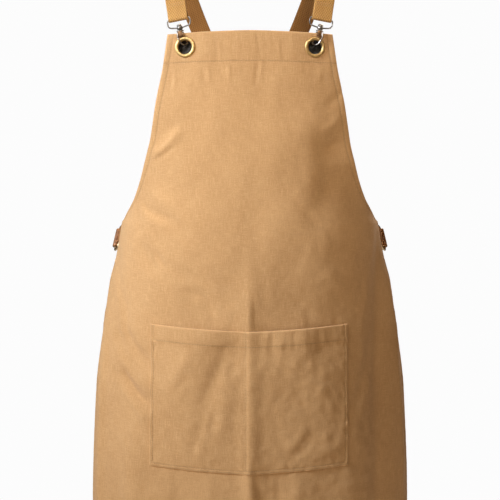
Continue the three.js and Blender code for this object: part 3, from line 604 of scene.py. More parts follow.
# The holes for the eyelets: cells inside the bore go, and the corners round it are drawn to its rim.
hole = EYELET_BORE / 2 + BARREL_WALL + CLEARANCE
around = np.abs(panel_along) - EYELET_HALF
away = np.hypot(around, panel_drop - EYELET_DROP)
in_hole = away < hole
gone = in_hole[:-1, :-1] | in_hole[1:, :-1] | in_hole[:-1, 1:] | in_hole[1:, 1:]
next_to = np.zeros_like(in_hole)
for shift_down, shift_across in ((0, 0), (0, 1), (1, 0), (1, 1)):
    rows_left, columns_left = gone.shape
    next_to[shift_down:shift_down + rows_left, shift_across:shift_across + columns_left] |= gone
rim = next_to & ~in_hole
pull = np.where(rim, hole / np.maximum(away, 1), 1.0)
panel_along = np.sign(panel_along) * (EYELET_HALF + around * pull)
panel_drop = EYELET_DROP + (panel_drop - EYELET_DROP) * pull

side_edge = half_at(panel_drop) - np.abs(panel_along)
top_edge = panel_drop
bottom_edge = APRON_LENGTH - panel_drop
panel_hems = (
    hem_puff(side_edge, SIDE_HEM, panel_drop, 31) * smooth(top_edge, 1, 8)
    + hem_puff(top_edge, TOP_HEM, panel_along, 32) * smooth(side_edge, 1, 6)
    + hem_puff(bottom_edge, BOTTOM_HEM, panel_along, 33) * smooth(side_edge, 1, 6)
)
folded = (side_edge < SIDE_HEM) | (top_edge < TOP_HEM) | (bottom_edge < BOTTOM_HEM)
panel_wall = np.where(folded, HEM_WALL, CANVAS_WALL)
nearest = np.minimum(np.minimum(side_edge, top_edge), bottom_edge)
draw_back = rounded_edge(np.maximum(nearest, 0), HEM_WALL)
near_eyelet = smooth(away, EYELET_FLANGE * 0.5, EYELET_FLANGE * 0.75)
panel_outer = on_panel(panel_along, panel_drop, panel_hems * near_eyelet - draw_back)
panel_inner = on_panel(panel_along, panel_drop, draw_back - panel_wall)
sewn_lines = np.minimum(
    np.abs(side_edge - SIDE_HEM), np.minimum(np.abs(top_edge - TOP_HEM), np.abs(bottom_edge - BOTTOM_HEM))
)
apron_panel = cloth_object(
    "canvas_panel", panel_outer, panel_inner, panel_along, panel_drop, ~gone,
    worn_and_lit=0.7 * np.exp(-np.maximum(nearest, 0) / 0.8), painted_seam_shade=0.6 * np.exp(-((sewn_lines / 0.9) ** 2)),
)
canvas_material = canvas_cloth("tan_canvas", CANVAS_DARK, CANVAS, CANVAS_LIGHT)
apron_panel.data.materials.append(canvas_material)
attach(apron_panel, "root")
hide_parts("apron_panel")

# Pocket: a canvas patch of two pouches, laid on the front with its sides and bottom turned under. It is
# sewn down round three sides and along a seam left of the middle, and its hemmed mouth gapes a little.
POCKET_DROP = 447
POCKET_HEIGHT = 212
POCKET_HALF = 155
POCKET_WALL = 1.6
POCKET_HEM = 23
POCKET_GAPE = 6
POCKET_SEAM = -7
ROUND_ROWS = (1.9, 5.4)
SEAM_ROWS = (-1.8, 1.8)
TACK_ROWS = (1.6, 2.9, 4.2)

# Folds in the form that the panel's have, with drops from the pocket's mouth, and its finer wrinkles.
pocket_folds = [
    (-84, 32, -136, 112, 14, 3.2),
    (-19, 11, -68, 106, 15, -3.6),
    (-68, 106, -91, 191, 12.4, -3.6),
    (-26, 76, -50, 199, 12.4, 4.5),
    (99, 161, 53, 199, 12.4, -3.6),
    (147, 170, 108, 191, 15.5, 4.5),
    (107, 25, 140, 55, 15.5, -3.6),
]
pocket_wrinkles = [
    (-18, 16, -34, 70, 6, -0.8),
    (-38, 34, -66, 108, 8, -0.9),
    (-30, 30, -40, 96, 6, 1.0),
    (-52, 122, -58, 150, 7, -1.8),
    (-60, 112, -86, 186, 6, -1.2),
    (-120, 116, -92, 66, 6, -1.3),
    (-128, 130, -96, 84, 7, 1.0),
    (-100, 150, -70, 176, 7, 0.9),
    (24, 2, 22, 40, 4, 0.9),
    (34, 2, 32, 34, 4, -0.8),
    (48, 2, 45, 44, 4, 0.9),
    (66, 2, 66, 36, 4, -0.8),
    (84, 2, 82, 46, 5, 0.9),
    (104, 2, 104, 38, 5, -0.8),
    (70, 188, 94, 158, 6, -1.8),
    (58, 180, 84, 150, 7, 1.2),
    (104, 196, 146, 176, 9, 1.4),
    (20, 190, 60, 206, 7, 1.0),
    (40, 96, 92, 120, 10, -0.9),
    (96, 84, 132, 128, 9, 1.1),
]


def pocket_share(along):
    """Share of the way from the seam of a pouch, 0, to its other side, 1."""
    return np.where(
        along > POCKET_SEAM,
        (along - POCKET_SEAM) / (POCKET_HALF - POCKET_SEAM),
        (POCKET_SEAM - along) / (POCKET_HALF + POCKET_SEAM),
    )


def pocket_stand_off(along, down):
    """Room between the panel and the pocket: most in the middle of each pouch at its mouth."""
    shut = 1 - smooth(down, POCKET_HEIGHT * 0.85, POCKET_HEIGHT)
    mouth = (1 - 0.7 * smooth(down, 0, POCKET_HEIGHT * 0.9)) * shut
    bulge = np.sin(math.pi * np.clip(pocket_share(along), 0, 1)) ** 1.3
    wrinkles = relief(pocket_folds, along, down)
    crisp = relief(pocket_wrinkles, along, down) * np.clip(bulge * 1.6, 0, 1) * shut
    open_room = np.maximum(POCKET_GAPE + wrinkles, 1)
    return CLEARANCE + np.maximum(bulge * mouth * open_room + crisp, 0)


across_steps = np.array([0, 0.4, 1.0, 1.9, 3, 4.2, 5.4, 6.2, 7.5, 10])
seam_steps = np.array([-4, -2.4, -1.2, -0.4, 0.4, 1.2, 2.4, 4])
left_pouch = np.linspace(across_steps[-1] - POCKET_HALF, POCKET_SEAM + seam_steps[0], 44)[1:-1]
right_pouch = np.linspace(POCKET_SEAM + seam_steps[-1], POCKET_HALF - across_steps[-1], 50)[1:-1]
pocket_columns = np.concatenate([
    across_steps - POCKET_HALF,
    left_pouch,
    POCKET_SEAM + seam_steps,
    right_pouch,
    (POCKET_HALF - across_steps)[::-1],
])
pocket_rows = np.concatenate([
    [0, 0.4, 1.0, 2.0, 4.0],
    np.arange(7, POCKET_HEM - 2, 3.0),
    [POCKET_HEM - 1.2, POCKET_HEM - 0.5, POCKET_HEM, POCKET_HEM + 0.6, POCKET_HEM + 1.6],
    np.arange(POCKET_HEM + 4, POCKET_HEIGHT - 11, 3.0),
    (POCKET_HEIGHT - across_steps)[::-1],
])
pocket_along, pocket_down = np.meshgrid(pocket_columns, pocket_rows)
pocket_side = POCKET_HALF - np.abs(pocket_along)
pocket_foot = POCKET_HEIGHT - pocket_down
pocket_rim = np.minimum(pocket_side, pocket_foot)


def pocket_sewing(along, down):
    """Height of the sewn lines of the pocket: two rows of stitches round it, one under its mouth, and two
    rows down its middle seam."""
    side, foot = POCKET_HALF - np.abs(along), POCKET_HEIGHT - down
    pucker = ripples(along, down, 7, 15, 41, 30)
    rim_edge = np.minimum(side, foot)
    puff = 0.35 * np.sin(math.pi * np.clip(rim_edge / 6, 0, 1)) * (1 + 0.5 * pucker)
    rows_round = sum(-0.45 * np.exp(-(((rim_edge - at) / 0.7) ** 2)) for at in ROUND_ROWS)
    seam = along - POCKET_SEAM
    rows_middle = sum(-0.4 * np.exp(-(((seam - at) / 0.8) ** 2)) for at in SEAM_ROWS)
    drawn = -0.5 * np.exp(-((seam / 3.5) ** 2)) * smooth(down, 0, 20)
    hem = 0.7 * hem_puff(down, POCKET_HEM, along, 42) * smooth(side, 2, 9)
    beside = 0.3 * pucker * np.exp(-np.maximum(rim_edge - 6, 0) / 8) * (rim_edge > 6)
    return puff + rows_round + rows_middle + drawn + hem + beside


def pocket_wall_at(down):
    """Thickness of the pocket: its cloth, and the hem's fold that eases out below the hem."""
    return POCKET_WALL + HEM_FOLD * (1 - smooth(down, POCKET_HEM - 1, POCKET_HEM + 6))


pocket_draw = rounded_edge(np.minimum(pocket_rim, pocket_down), POCKET_WALL + HEM_FOLD)
stand_off = pocket_stand_off(pocket_along, pocket_down)
pocket_front = stand_off + pocket_wall_at(pocket_down) - pocket_draw
pocket_front = pocket_front + pocket_sewing(pocket_along, pocket_down)
pocket_outer = on_panel(pocket_along, POCKET_DROP + pocket_down, pocket_front)
pocket_inner = on_panel(pocket_along, POCKET_DROP + pocket_down, stand_off)
pocket_seam_lines = np.minimum(
    np.abs(pocket_down - POCKET_HEM),
    np.minimum(np.abs(pocket_rim - 3.6) - 1.8, np.abs(pocket_along - POCKET_SEAM)),
)
pocket = cloth_object(
    "canvas_pocket", pocket_outer, pocket_inner, pocket_along, POCKET_DROP + pocket_down,
    worn_and_lit=0.9 * np.exp(-np.minimum(pocket_rim, pocket_down) / 0.9),
    painted_seam_shade=0.5 * np.exp(-((pocket_seam_lines / 0.8) ** 2)),
)
pocket.data.materials.append(canvas_cloth("tan_canvas_pocket", CANVAS_DARK, CANVAS, CANVAS_LIGHT))
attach(pocket, "root")
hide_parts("pocket")

# Stitching of panel and pocket: tan cotton thread in lock stitches of just under 3 mm, one row round the
# panel inside its hems, two rows round the pocket and down its seam, one row under its mouth.
STITCH = 2.7
STITCH_GAP = 0.9
THREAD = 0.62
THREAD_SEAT = -0.42
THREAD_TAN = (0.56, 0.34, 0.14)
THREAD_SHADE = (0.42, 0.24, 0.085)


def stitched_row(along, drop, outwards, places):
    """Ends of the stitches along a row: fine points on the cloth, cut to equal stitches."""
    path = on_panel(along, drop, outwards)
    steps = np.linalg.norm(np.diff(path, axis=0), axis=1)
    run = np.append(0, np.cumsum(steps))
    count = max(int(run[-1] // (STITCH + STITCH_GAP)), 1)
    starts = (np.arange(count) + 0.5) * run[-1] / count
    out = cloth_frame(along, drop)["out"]
    for start in starts:
        at = [start - STITCH / 2, start, start + STITCH / 2]
        ends = [np.array([np.interp(s, run, path[:, axis]) for axis in range(3)]) for s in at]
        way_out = np.array([np.interp(start, run, out[:, axis]) for axis in range(3)])
        places.append((ends[0], ends[1], ends[2], way_out))


def thread_object(name, stitches, thickness):
    """All the stitches of a row in one mesh: each a short curved thread whose ends dip into the cloth."""
    sides = 5
    turns = np.arange(sides) * 2 * math.pi / sides
    vertices, faces = [], []
    for start, middle, end, out in stitches:
        way = unit(end - start)
        across = unit(np.cross(way, out))
        rise = np.cross(across, way)
        rings = [
            (start, -0.45, 0.32),
            (start * 0.8 + middle * 0.2, 0.02, 0.9),
            (middle, 0.16, 1.0),
            (end * 0.8 + middle * 0.2, 0.02, 0.9),
            (end, -0.45, 0.32),
        ]
        first = len(vertices)
        for place, height, share in rings:
            radius = thickness / 2 * share
            for turn in turns:
                spoke = across * math.cos(turn) - rise * math.sin(turn)
                vertices.append((place + rise * height * thickness + spoke * radius) * MM)
        for ring in range(len(rings) - 1):
            for side in range(sides):
                a, b = first + ring * sides + side, first + ring * sides + (side + 1) % sides
                faces.append((a, b, b + sides, a + sides))
        faces.append(tuple(first + side for side in reversed(range(sides))))
        faces.append(tuple(first + (len(rings) - 1) * sides + side for side in range(sides)))
    mesh = bpy.data.meshes.new(name)
    mesh.from_pydata([tuple(v) for v in vertices], [], faces)
    mesh.polygons.foreach_set("use_smooth", [True] * len(mesh.polygons))
    thread = bpy.data.objects.new(name, mesh)
    bpy.context.scene.collection.objects.link(thread)
    return thread


def cotton_thread(name, colour, shade):
    material, tree, surface = shader(name, colour, 0.7)
    place = tree.nodes.new("ShaderNodeTexCoord").outputs["Object"]
    twist = spread_noise(tree, place, (900, 900, 900), 2)
    wander = spread_noise(tree, place, (40, 40, 40), 2)
    tone = blended(tree, ramp(tree, wander, 0.3, 0.7), shade, colour)
    tree.links.new(tone, surface.inputs["Base Color"])
    surface.inputs["Sheen Weight"].default_value = 0.2
    bumped(tree, surface, [(twist, 0.0002)])
    return material


thread_material = cotton_thread("tan_thread", THREAD_TAN, THREAD_SHADE)
panel_stitches = []
edge_drops = np.linspace(6, APRON_LENGTH - 6, 700)
for side in (-1, 1):
    edge_along = side * (half_at(edge_drops) - SIDE_HEM)
    stitched_row(edge_along, edge_drops, np.full(700, THREAD_SEAT), panel_stitches)
top_half = float(half_at(TOP_HEM)) - SIDE_HEM - 1
across_line = np.linspace(-top_half, top_half, 160)
top_row = np.full(160, float(TOP_HEM))
stitched_row(across_line, top_row, np.full(160, THREAD_SEAT), panel_stitches)
bottom_half = float(half_at(APRON_LENGTH - BOTTOM_HEM)) - SIDE_HEM - 1
across_line = np.linspace(-bottom_half, bottom_half, 300)
bottom_row = np.full(300, float(APRON_LENGTH - BOTTOM_HEM))
stitched_row(across_line, bottom_row, np.full(300, THREAD_SEAT), panel_stitches)
panel_stitching = thread_object("panel_stitching", panel_stitches, THREAD)
panel_stitching.data.materials.append(thread_material)
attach(panel_stitching, "root")

pocket_stitches = []


def pocket_row(along, down):
    height = pocket_stand_off(along, down) + pocket_wall_at(down) + pocket_sewing(along, down)
    stitched_row(along, POCKET_DROP + down, height, pocket_stitches)


for inset in ROUND_ROWS:
    downs = np.linspace(2.0, POCKET_HEIGHT - inset, 200)
    for side in (-1, 1):
        pocket_row(np.full(200, side * (POCKET_HALF - inset)), downs)
    foot_along = np.linspace(inset - POCKET_HALF, POCKET_HALF - inset, 260)
    pocket_row(foot_along, np.full(260, POCKET_HEIGHT - inset))
for shift in SEAM_ROWS:
    pocket_row(np.full(200, POCKET_SEAM + shift), np.linspace(2.0, POCKET_HEIGHT - 6, 200))
pocket_row(np.linspace(7 - POCKET_HALF, POCKET_HALF - 7, 260), np.full(260, float(POCKET_HEM)))
for side in (-1, 1):
    for down in TACK_ROWS:
        reach = np.linspace(POCKET_HALF - 9, POCKET_HALF - 2, 20) * side
        pocket_row(reach, np.full(20, down))
pocket_stitching = thread_object("pocket_stitching", pocket_stitches, THREAD)
pocket_stitching.data.materials.append(thread_material)
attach(pocket_stitching, "root")

# Eyelets: domed rings of thin gilt brass, pressed round a hole in the faced top corners of the bib and
# rolled over a flat washer behind. The gilding is dulled to darker brass in patches, and the right eyelet
# has a darker copy of it as painted shade, the left one a paler copy as painted light.
EYELET_CROWN = 2.2
WASHER_WIDTH = 27
WASHER_WALL = 0.8
# Painted light and shade: a darker gilt for the shaded right eyelet and a paler one for the lit left
# eyelet.
SHADED_GILT = (0.70, 0.47, 0.19), (0.38, 0.22, 0.07)
LIT_GILT = (0.78, 0.54, 0.22), (0.50, 0.29, 0.08)


def select_only(thing):
    bpy.ops.object.select_all(action="DESELECT")
    thing.select_set(True)
    bpy.context.view_layer.objects.active = thing


def turned(name, profile, around, closed=False):
    """A turned part, drawn out of one circle from ring to ring of its profile of radius and height. A
    closed profile ends where it starts, and an open one is capped at both ends."""
    radius, height = profile[0]
    bpy.ops.object.select_all(action="DESELECT")
    bpy.ops.mesh.primitive_circle_add(
        vertices=around, radius=radius, fill_type="NOTHING" if closed else "NGON"
    )
    part = bpy.context.object
    part.name = part.data.name = name
    bpy.ops.object.mode_set(mode="EDIT")
    bpy.ops.mesh.select_all(action="SELECT")
    bpy.ops.transform.translate(value=(0, 0, height))
    for (before, low), (after, high) in zip(profile, profile[1:]):
        if closed:
            bpy.ops.mesh.extrude_edges_move(TRANSFORM_OT_translate={"value": (0, 0, high - low)})
        else:
            bpy.ops.mesh.extrude_region_move(TRANSFORM_OT_translate={"value": (0, 0, high - low)})
        share = after / before
        bpy.ops.transform.resize(value=(share, share, 1), center_override=(0, 0, high))
    if closed:
        bpy.ops.mesh.select_all(action="DESELECT")
        bpy.ops.mesh.select_mode(type="EDGE")
        bpy.ops.mesh.select_non_manifold()
        bpy.ops.mesh.bridge_edge_loops()
    bpy.ops.mesh.select_all(action="SELECT")
    bpy.ops.mesh.normals_make_consistent(inside=False)
    bpy.ops.object.mode_set(mode="OBJECT")
    return part


def basis(x_way, y_way, z_way, at):
    """Matrix of a frame with its place in millimetres, for a mesh that is built in millimetres."""
    turn = Matrix((x_way, y_way, z_way)).transposed().to_4x4()
    return Matrix.Translation(Vector(at) * MM) @ turn @ Matrix.Scale(MM, 4)


def mirrored_copy(part, name):
    """The same piece for the left side, with a mesh of its own and its faces pointing outwards."""
    copy = part.copy()
    copy.data = part.data.copy()
    copy.name = copy.data.name = name
    bpy.context.scene.collection.objects.link(copy)
    copy.data.transform(Matrix.Scale(-1, 4, (1, 0, 0)))
    copy.data.flip_normals()
    return copy


def smoothed(part, angle=40):
    select_only(part)
    bpy.ops.object.shade_smooth_by_angle(angle=math.radians(angle))


def finished_pair(part, name, node, right_finish, left_finish=None):
    """Puts the finish on a right piece, makes the left one, and ties both to their CAD nodes."""
    part.name = part.data.name = name + "_right"
    left = mirrored_copy(part, name + "_left")
    part.data.materials.append(right_finish)
    left.data.materials.append(left_finish or right_finish)
    for piece, side in ((part, "_right"), (left, "_left")):
        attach(piece, "root")
        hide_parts(node + side)
    return part, left


def worn_metal(name, bright, dark, roughness, wear):
    """Plated metal that has dulled: bright where it is rubbed, darker in patches, with fine scratches."""
    material, tree, surface = shader(name, bright, roughness, 1.0)
    place = tree.nodes.new("ShaderNodeTexCoord").outputs["Object"]
    blots = spread_noise(tree, place, (260, 260, 260), 4, 0.6)
    scratches = spread_noise(tree, place, (1500, 320, 900), 2, 0.5)
    edge = tree.nodes.new("ShaderNodeNewGeometry").outputs["Pointiness"]
    tone = blended(tree, ramp(tree, blots, 0.65 - wear * 0.3, 0.75), bright, dark)
    tone = blended(tree, ramp(tree, edge, 0.52, 0.58), tone, bright)
    tree.links.new(tone, surface.inputs["Base Color"])
    rough = tree.nodes.new("ShaderNodeMapRange")
    rough.inputs["To Min"].default_value = roughness * 0.7
    rough.inputs["To Max"].default_value = roughness * 1.5
    tree.links.new(blots, rough.inputs["Value"])
    tree.links.new(rough.outputs["Result"], surface.inputs["Roughness"])
    bumped(tree, surface, [(scratches, 0.00003), (blots, 0.00005)])
    return material


bore, flange = EYELET_BORE / 2, EYELET_FLANGE / 2
crown_turns = [math.pi * k / 12 for k in range(13)]
eyelet_profile = [
    ((flange + bore) / 2 + math.cos(turn) * (flange - bore) / 2, CLEARANCE + math.sin(turn) * EYELET_CROWN)
    for turn in crown_turns
]
washer_front = -HEM_WALL - CLEARANCE
washer_back = washer_front - WASHER_WALL
eyelet_profile += [
    (bore, washer_back + 0.3),
    (bore + 0.3, washer_back),
    (WASHER_WIDTH / 2 - 0.25, washer_back),
    (WASHER_WIDTH / 2, washer_back + 0.25),
    (WASHER_WIDTH / 2, washer_front),
    (bore + BARREL_WALL, washer_front),
    (bore + BARREL_WALL, CLEARANCE),
]
eyelet = turned("eyelet", eyelet_profile, 72, closed=True)
at_eyelet = cloth_frame(EYELET_HALF, EYELET_DROP)
eyelet_side = unit(np.cross(at_eyelet["out"], at_eyelet["up"]))
eyelet.data.transform(basis(at_eyelet["up"], eyelet_side, at_eyelet["out"], at_eyelet["at"]))
smoothed(eyelet, 50)
# The darker, painted-shade gilt goes on the right eyelet and the paler, painted-light gilt on the left.
shaded_gilt = worn_metal("gold_painted_shade", *SHADED_GILT, 0.42, 0.6)
lit_gilt = worn_metal("gold_painted_light", *LIT_GILT, 0.48, 0.35)
finished_pair(eyelet, "brass_eyelet", "eyelet", shaded_gilt, lit_gilt)

# Patches: small pieces of satin-faced cloth, sewn behind the eyelets at their sides and bottom, and
# coloured near-black as painted shade for the dark seen through the eyelets. Each bellies away from the
# hem so that the hook's tip and gate have room, and is open at its top.
PATCH_WIDTH = 44
PATCH_HEIGHT = 46
PATCH_WALL = 1
PATCH_DEPTH = 7
PATCH_TOP = 3
# Painted shade: the near-black that fills the eyelet holes; the pale lint specks on it are real.
SATIN_PAINTED_SHADE = (0.012, 0.012, 0.013)
LINT = (0.16, 0.15, 0.13)


def build_patch():
    columns, rows = np.meshgrid(np.linspace(-1, 1, 41), np.linspace(0, 1, 43))
    along = EYELET_HALF + columns * PATCH_WIDTH / 2
    drop = PATCH_TOP + rows * PATCH_HEIGHT
    belly = PATCH_DEPTH * (1 - np.abs(columns) ** 3) * (1 - smooth(rows, 0.6, 1))
    creases = ripples(along, drop, 9, 26, 51, 30) * 0.25 * (1 - np.abs(columns) ** 3)
    behind = -HEM_WALL - 2 * CLEARANCE - belly - np.abs(creases)
    side_room = PATCH_WIDTH / 2 * (1 - np.abs(columns))
    edge = np.minimum(side_room, np.minimum(rows, 1 - rows) * PATCH_HEIGHT)
    draw = rounded_edge(edge, PATCH_WALL)
    outer = on_panel(along, drop, behind - draw, folds=patch_folds)
    inner = on_panel(along, drop, behind - PATCH_WALL + draw, folds=patch_folds)
    return cloth_object("eyelet_patch", outer, inner, along, drop)


def patch_folds(along, drop):
    """Folds that the patch shares with the panel, without those that would push it into the cloth."""
    return np.minimum(rumple(along, drop), relief(main_folds, along, drop))


def satin_painted_shade():
    material, tree, surface = shader("satin_painted_shade", SATIN_PAINTED_SHADE, 0.34)
    flat = cut_cloth_map(tree)
    grain = spread_noise(tree, flat, (1800, 240, 1), 2)
    lint = spread_noise(tree, flat, (420, 420, 1), 2)
    tone = blended(tree, ramp(tree, lint, 0.74, 0.8), SATIN_PAINTED_SHADE, LINT)
    tree.links.new(tone, surface.inputs["Base Color"])
    surface.inputs["Sheen Weight"].default_value = 0.25
    crumple = spread_noise(tree, flat, (150, 130, 1), 2)
    bumped(tree, surface, [(crumple, 0.0012), (grain, 0.00006)])
    return material


patch = build_patch()
patches = finished_pair(patch, "satin_patch", "eyelet_patch", satin_painted_shade())

# Swivel bails: a nickel wire bent into a rectangular loop for the strap, both ends let into a domed boss
# that the hook turns in. The plating has gone dark grey.
HOOK_ASIDE = 8.3
BOSS_RISE = 8.1
BAIL_WIRE = 2.2
BAIL_INSIDE = 32
BAIL_DROP = 13.6
BOSS_WIDTH = 9.2
BOSS_HEIGHT = 5
STEM_WIDTH = 3.4
STEM_PLAY = 0.35
STRAP_TILT = 9
OLD_NICKEL = (0.34, 0.31, 0.27), (0.10, 0.085, 0.07)


def boss_frame():
    """Place and directions of the boss above the top edge of the bib, leaning outwards with the strap."""
    cloth = cloth_frame(EYELET_HALF + HOOK_ASIDE, 0)
    tilt = math.radians(STRAP_TILT)
    up = cloth["up"] * math.cos(tilt) + cloth["across"] * math.sin(tilt)
    at = cloth["at"] + cloth["up"] * BOSS_RISE - cloth["out"] * HEM_WALL / 2
    return {"at": at, "up": up, "out": cloth["out"], "across": unit(np.cross(up, cloth["out"]))}


def in_frame(place, across, up, out=0.0):
    """Place that lies so far across, up and out in a frame."""
    return place["at"] + place["across"] * across + place["up"] * up + place["out"] * out


def standing(place):
    """Matrix for a part that was turned or drawn with its height along Z."""
    across, up = place["across"], place["up"]
    return basis(across, np.cross(up, across), up, place["at"])


def drawn_through(points, count):
    """Even points on the centripetal curve through a wire's or band's main points."""
    points = np.array(points, float)
    first, last = 2 * points[0] - points[1], 2 * points[-1] - points[-2]
    hold = np.vstack([first, points, last])
    found = []
    for share in np.linspace(0, len(points) - 1, count):
        k = min(int(share), len(points) - 2)
        t = share - k
        p0, p1, p2, p3 = hold[k:k + 4]
        spans = (p1 - p0, p2 - p1, p3 - p2)
        d0, d1, d2 = (max(np.linalg.norm(span), 1e-6) ** 0.5 for span in spans)
        leave = ((p1 - p0) / d0 - (p2 - p0) / (d0 + d1) + (p2 - p1) / d1) * d1
        arrive = ((p2 - p1) / d1 - (p3 - p1) / (d1 + d2) + (p3 - p2) / d2) * d1
        bend = 2 * p1 - 2 * p2 + leave + arrive
        rise = -3 * p1 + 3 * p2 - 2 * leave - arrive
        found.append(p1 + leave * t + rise * t * t + bend * t**3)
    return np.array(found)


def bent_wire(name, points, thickness, closed=False, roundness=3):
    """A round wire along points in millimetres, as a closed mesh in metres."""
    bpy.ops.object.select_all(action="DESELECT")
    bpy.ops.curve.primitive_nurbs_path_add()
    wire = bpy.context.object
    wire.name = name
    path = wire.data.splines[0]
    path.points.add(len(points) - len(path.points))
    path.type = "POLY"
    for point, place in zip(path.points, points):
        point.co = (*(np.asarray(place) * MM), 1)
    path.use_cyclic_u = closed
    wire.data.dimensions = "3D"
    wire.data.bevel_depth = thickness / 2 * MM
    wire.data.bevel_resolution = roundness
    wire.data.use_fill_caps = not closed
    bpy.ops.object.convert(target="MESH")
    return bpy.context.object


def cast_together(name, parts, grain):
    """Parts melted into one casting, with small fillets where they meet."""
    select_only(parts[0])
    for part in parts[1:]:
        part.select_set(True)
    bpy.ops.object.join()
    whole = bpy.context.object
    whole.name = whole.data.name = name
    melt = whole.modifiers.new("melt", "REMESH")
    melt.mode = "VOXEL"
    melt.voxel_size = grain * MM
    melt.use_smooth_shade = True
    bpy.ops.object.modifier_apply(modifier="melt")
    ease = whole.modifiers.new("ease", "SMOOTH")
    ease.factor = 0.5
    ease.iterations = 2
    bpy.ops.object.modifier_apply(modifier="ease")
    return whole


boss_at = boss_frame()
bail_half = (BAIL_INSIDE + BAIL_WIRE) / 2
bail_right = [
    (BOSS_WIDTH / 2 - BAIL_WIRE / 2, 0),
    (bail_half * 0.5, BAIL_DROP * 0.06),
    (bail_half * 0.86, BAIL_DROP * 0.17),
    (bail_half, BAIL_DROP * 0.4),
    (bail_half, BAIL_DROP * 0.85),
    (bail_half * 0.95, BAIL_DROP * 0.98),
    (bail_half * 0.85, BAIL_DROP),
    (bail_half * 0.3, BAIL_DROP),
]
bail_left = [(-across, up) for across, up in reversed(bail_right)]
bail_points = drawn_through([in_frame(boss_at, *place) for place in bail_right + bail_left], 120)
bail_loop = bent_wire("bail_loop", bail_points, BAIL_WIRE)
stem_bore = STEM_WIDTH / 2 + STEM_PLAY
side, top = BOSS_WIDTH / 2, BOSS_HEIGHT / 2
boss_profile = [
    (stem_bore, -top), (side * 0.7, -top), (side * 0.86, -top * 0.9), (side * 0.97, -top * 0.62),
    (side, -top * 0.2), (side * 0.99, top * 0.25), (side * 0.92, top * 0.62), (side * 0.78, top * 0.9),
    (side * 0.6, top), (stem_bore, top),
]
boss = turned("boss", boss_profile, 40, closed=True)
boss.data.transform(standing(boss_at))
bail = cast_together("bail", [bail_loop, boss], 0.24)
old_nickel = worn_metal("antique_nickel", *OLD_NICKEL, 0.34, 0.5)
finished_pair(bail, "wire_bail", "swivel_bail", old_nickel)

# Snap hooks: cast in one piece, with a head and stem that turn in the boss, a collar under it, and a rod
# that curls through the eyelet to a blunt tip. A thin plate fills the bend beside the rod; its dark bronze
# is partly the plate's own colour and partly a painted shadow of the hook on the cloth.
HEAD_WIDTH = 8.2
HEAD_HEIGHT = 3.0
COLLAR_WIDTH = 11.4
COLLAR_HEIGHT = 2.8
HOOK_WIRE = 2.1
HOOK_LENGTH = 20
WEB_WALL = 1.1
BRIGHT_NICKEL = (0.46, 0.41, 0.35), (0.15, 0.11, 0.07)
# Partly painted shadow: the plate's dark bronze also stands in for the hook's shadow on the cloth beside
# it.
PLATE_BRONZE_AND_SHADOW = (0.26, 0.14, 0.065), (0.12, 0.06, 0.025)
COLLAR_UNDER = -(BOSS_HEIGHT / 2 + CLEARANCE + COLLAR_HEIGHT)

# Route of the rod: inwards and down as shares of HOOK_LENGTH, and out as a share of HEM_WALL.
hook_route = [
    (-0.07, -0.04, 0.9),
    (-0.15, 0.08, 1.75),
    (-0.155, 0.23, 2.15),
    (-0.125, 0.475, 2.3),
    (-0.01, 0.705, 2.3),
    (0.12, 0.9, 1.75),
    (0.25, 1.0, 0.6),
    (0.38, 0.985, -0.9),
    (0.48, 0.9, -1.75),
    (0.51, 0.82, -1.9),
]


def hook_frame():
    cloth = cloth_frame(EYELET_HALF + HOOK_ASIDE, 0)
    at = in_frame(boss_frame(), 0, COLLAR_UNDER)
    return {"at": at, "across": -cloth["across"], "up": cloth["up"], "out": cloth["out"]}


def hook_point(inwards, down, out):
    return in_frame(hook_frame(), inwards * HOOK_LENGTH, -down * HOOK_LENGTH, out * HEM_WALL)


def hook_plate(hook_at):
    """The thin plate beside the rod, cut clear of the eyelet's rim."""
    reach = EYELET_FLANGE / 2 + 2 * CLEARANCE
    centre = at_eyelet["at"] - hook_at["at"]
    middle, height = centre @ hook_at["across"], centre @ hook_at["up"]
    corners = [(-0.13, 0.02), (0.17, 0.02), (0.22, -0.15), (0.27, -0.3)]
    outline = [(x * HOOK_LENGTH, y * HOOK_LENGTH) for x, y in corners]
    for share in (0.27, 0.15, 0, -0.12):
        aside = share * HOOK_LENGTH - middle
        outline.append((share * HOOK_LENGTH, height + math.sqrt(reach**2 - aside**2)))
    bpy.ops.object.select_all(action="DESELECT")
    bpy.ops.mesh.primitive_circle_add(vertices=len(outline), radius=1, fill_type="NGON")
    plate = bpy.context.object
    for vertex, (across, up) in zip(plate.data.vertices, reversed(outline)):
        low = 1.3 * HEM_WALL - WEB_WALL / 2
        vertex.co = Vector(in_frame(hook_at, across, up, low)) * MM
    bpy.ops.object.mode_set(mode="EDIT")
    bpy.ops.mesh.select_all(action="SELECT")
    rise = hook_at["out"] * 2 * WEB_WALL * MM
    bpy.ops.mesh.extrude_region_move(TRANSFORM_OT_translate={"value": tuple(rise)})
    bpy.ops.mesh.select_all(action="SELECT")
    bpy.ops.mesh.normals_make_consistent(inside=False)
    bpy.ops.object.mode_set(mode="OBJECT")
    return plate


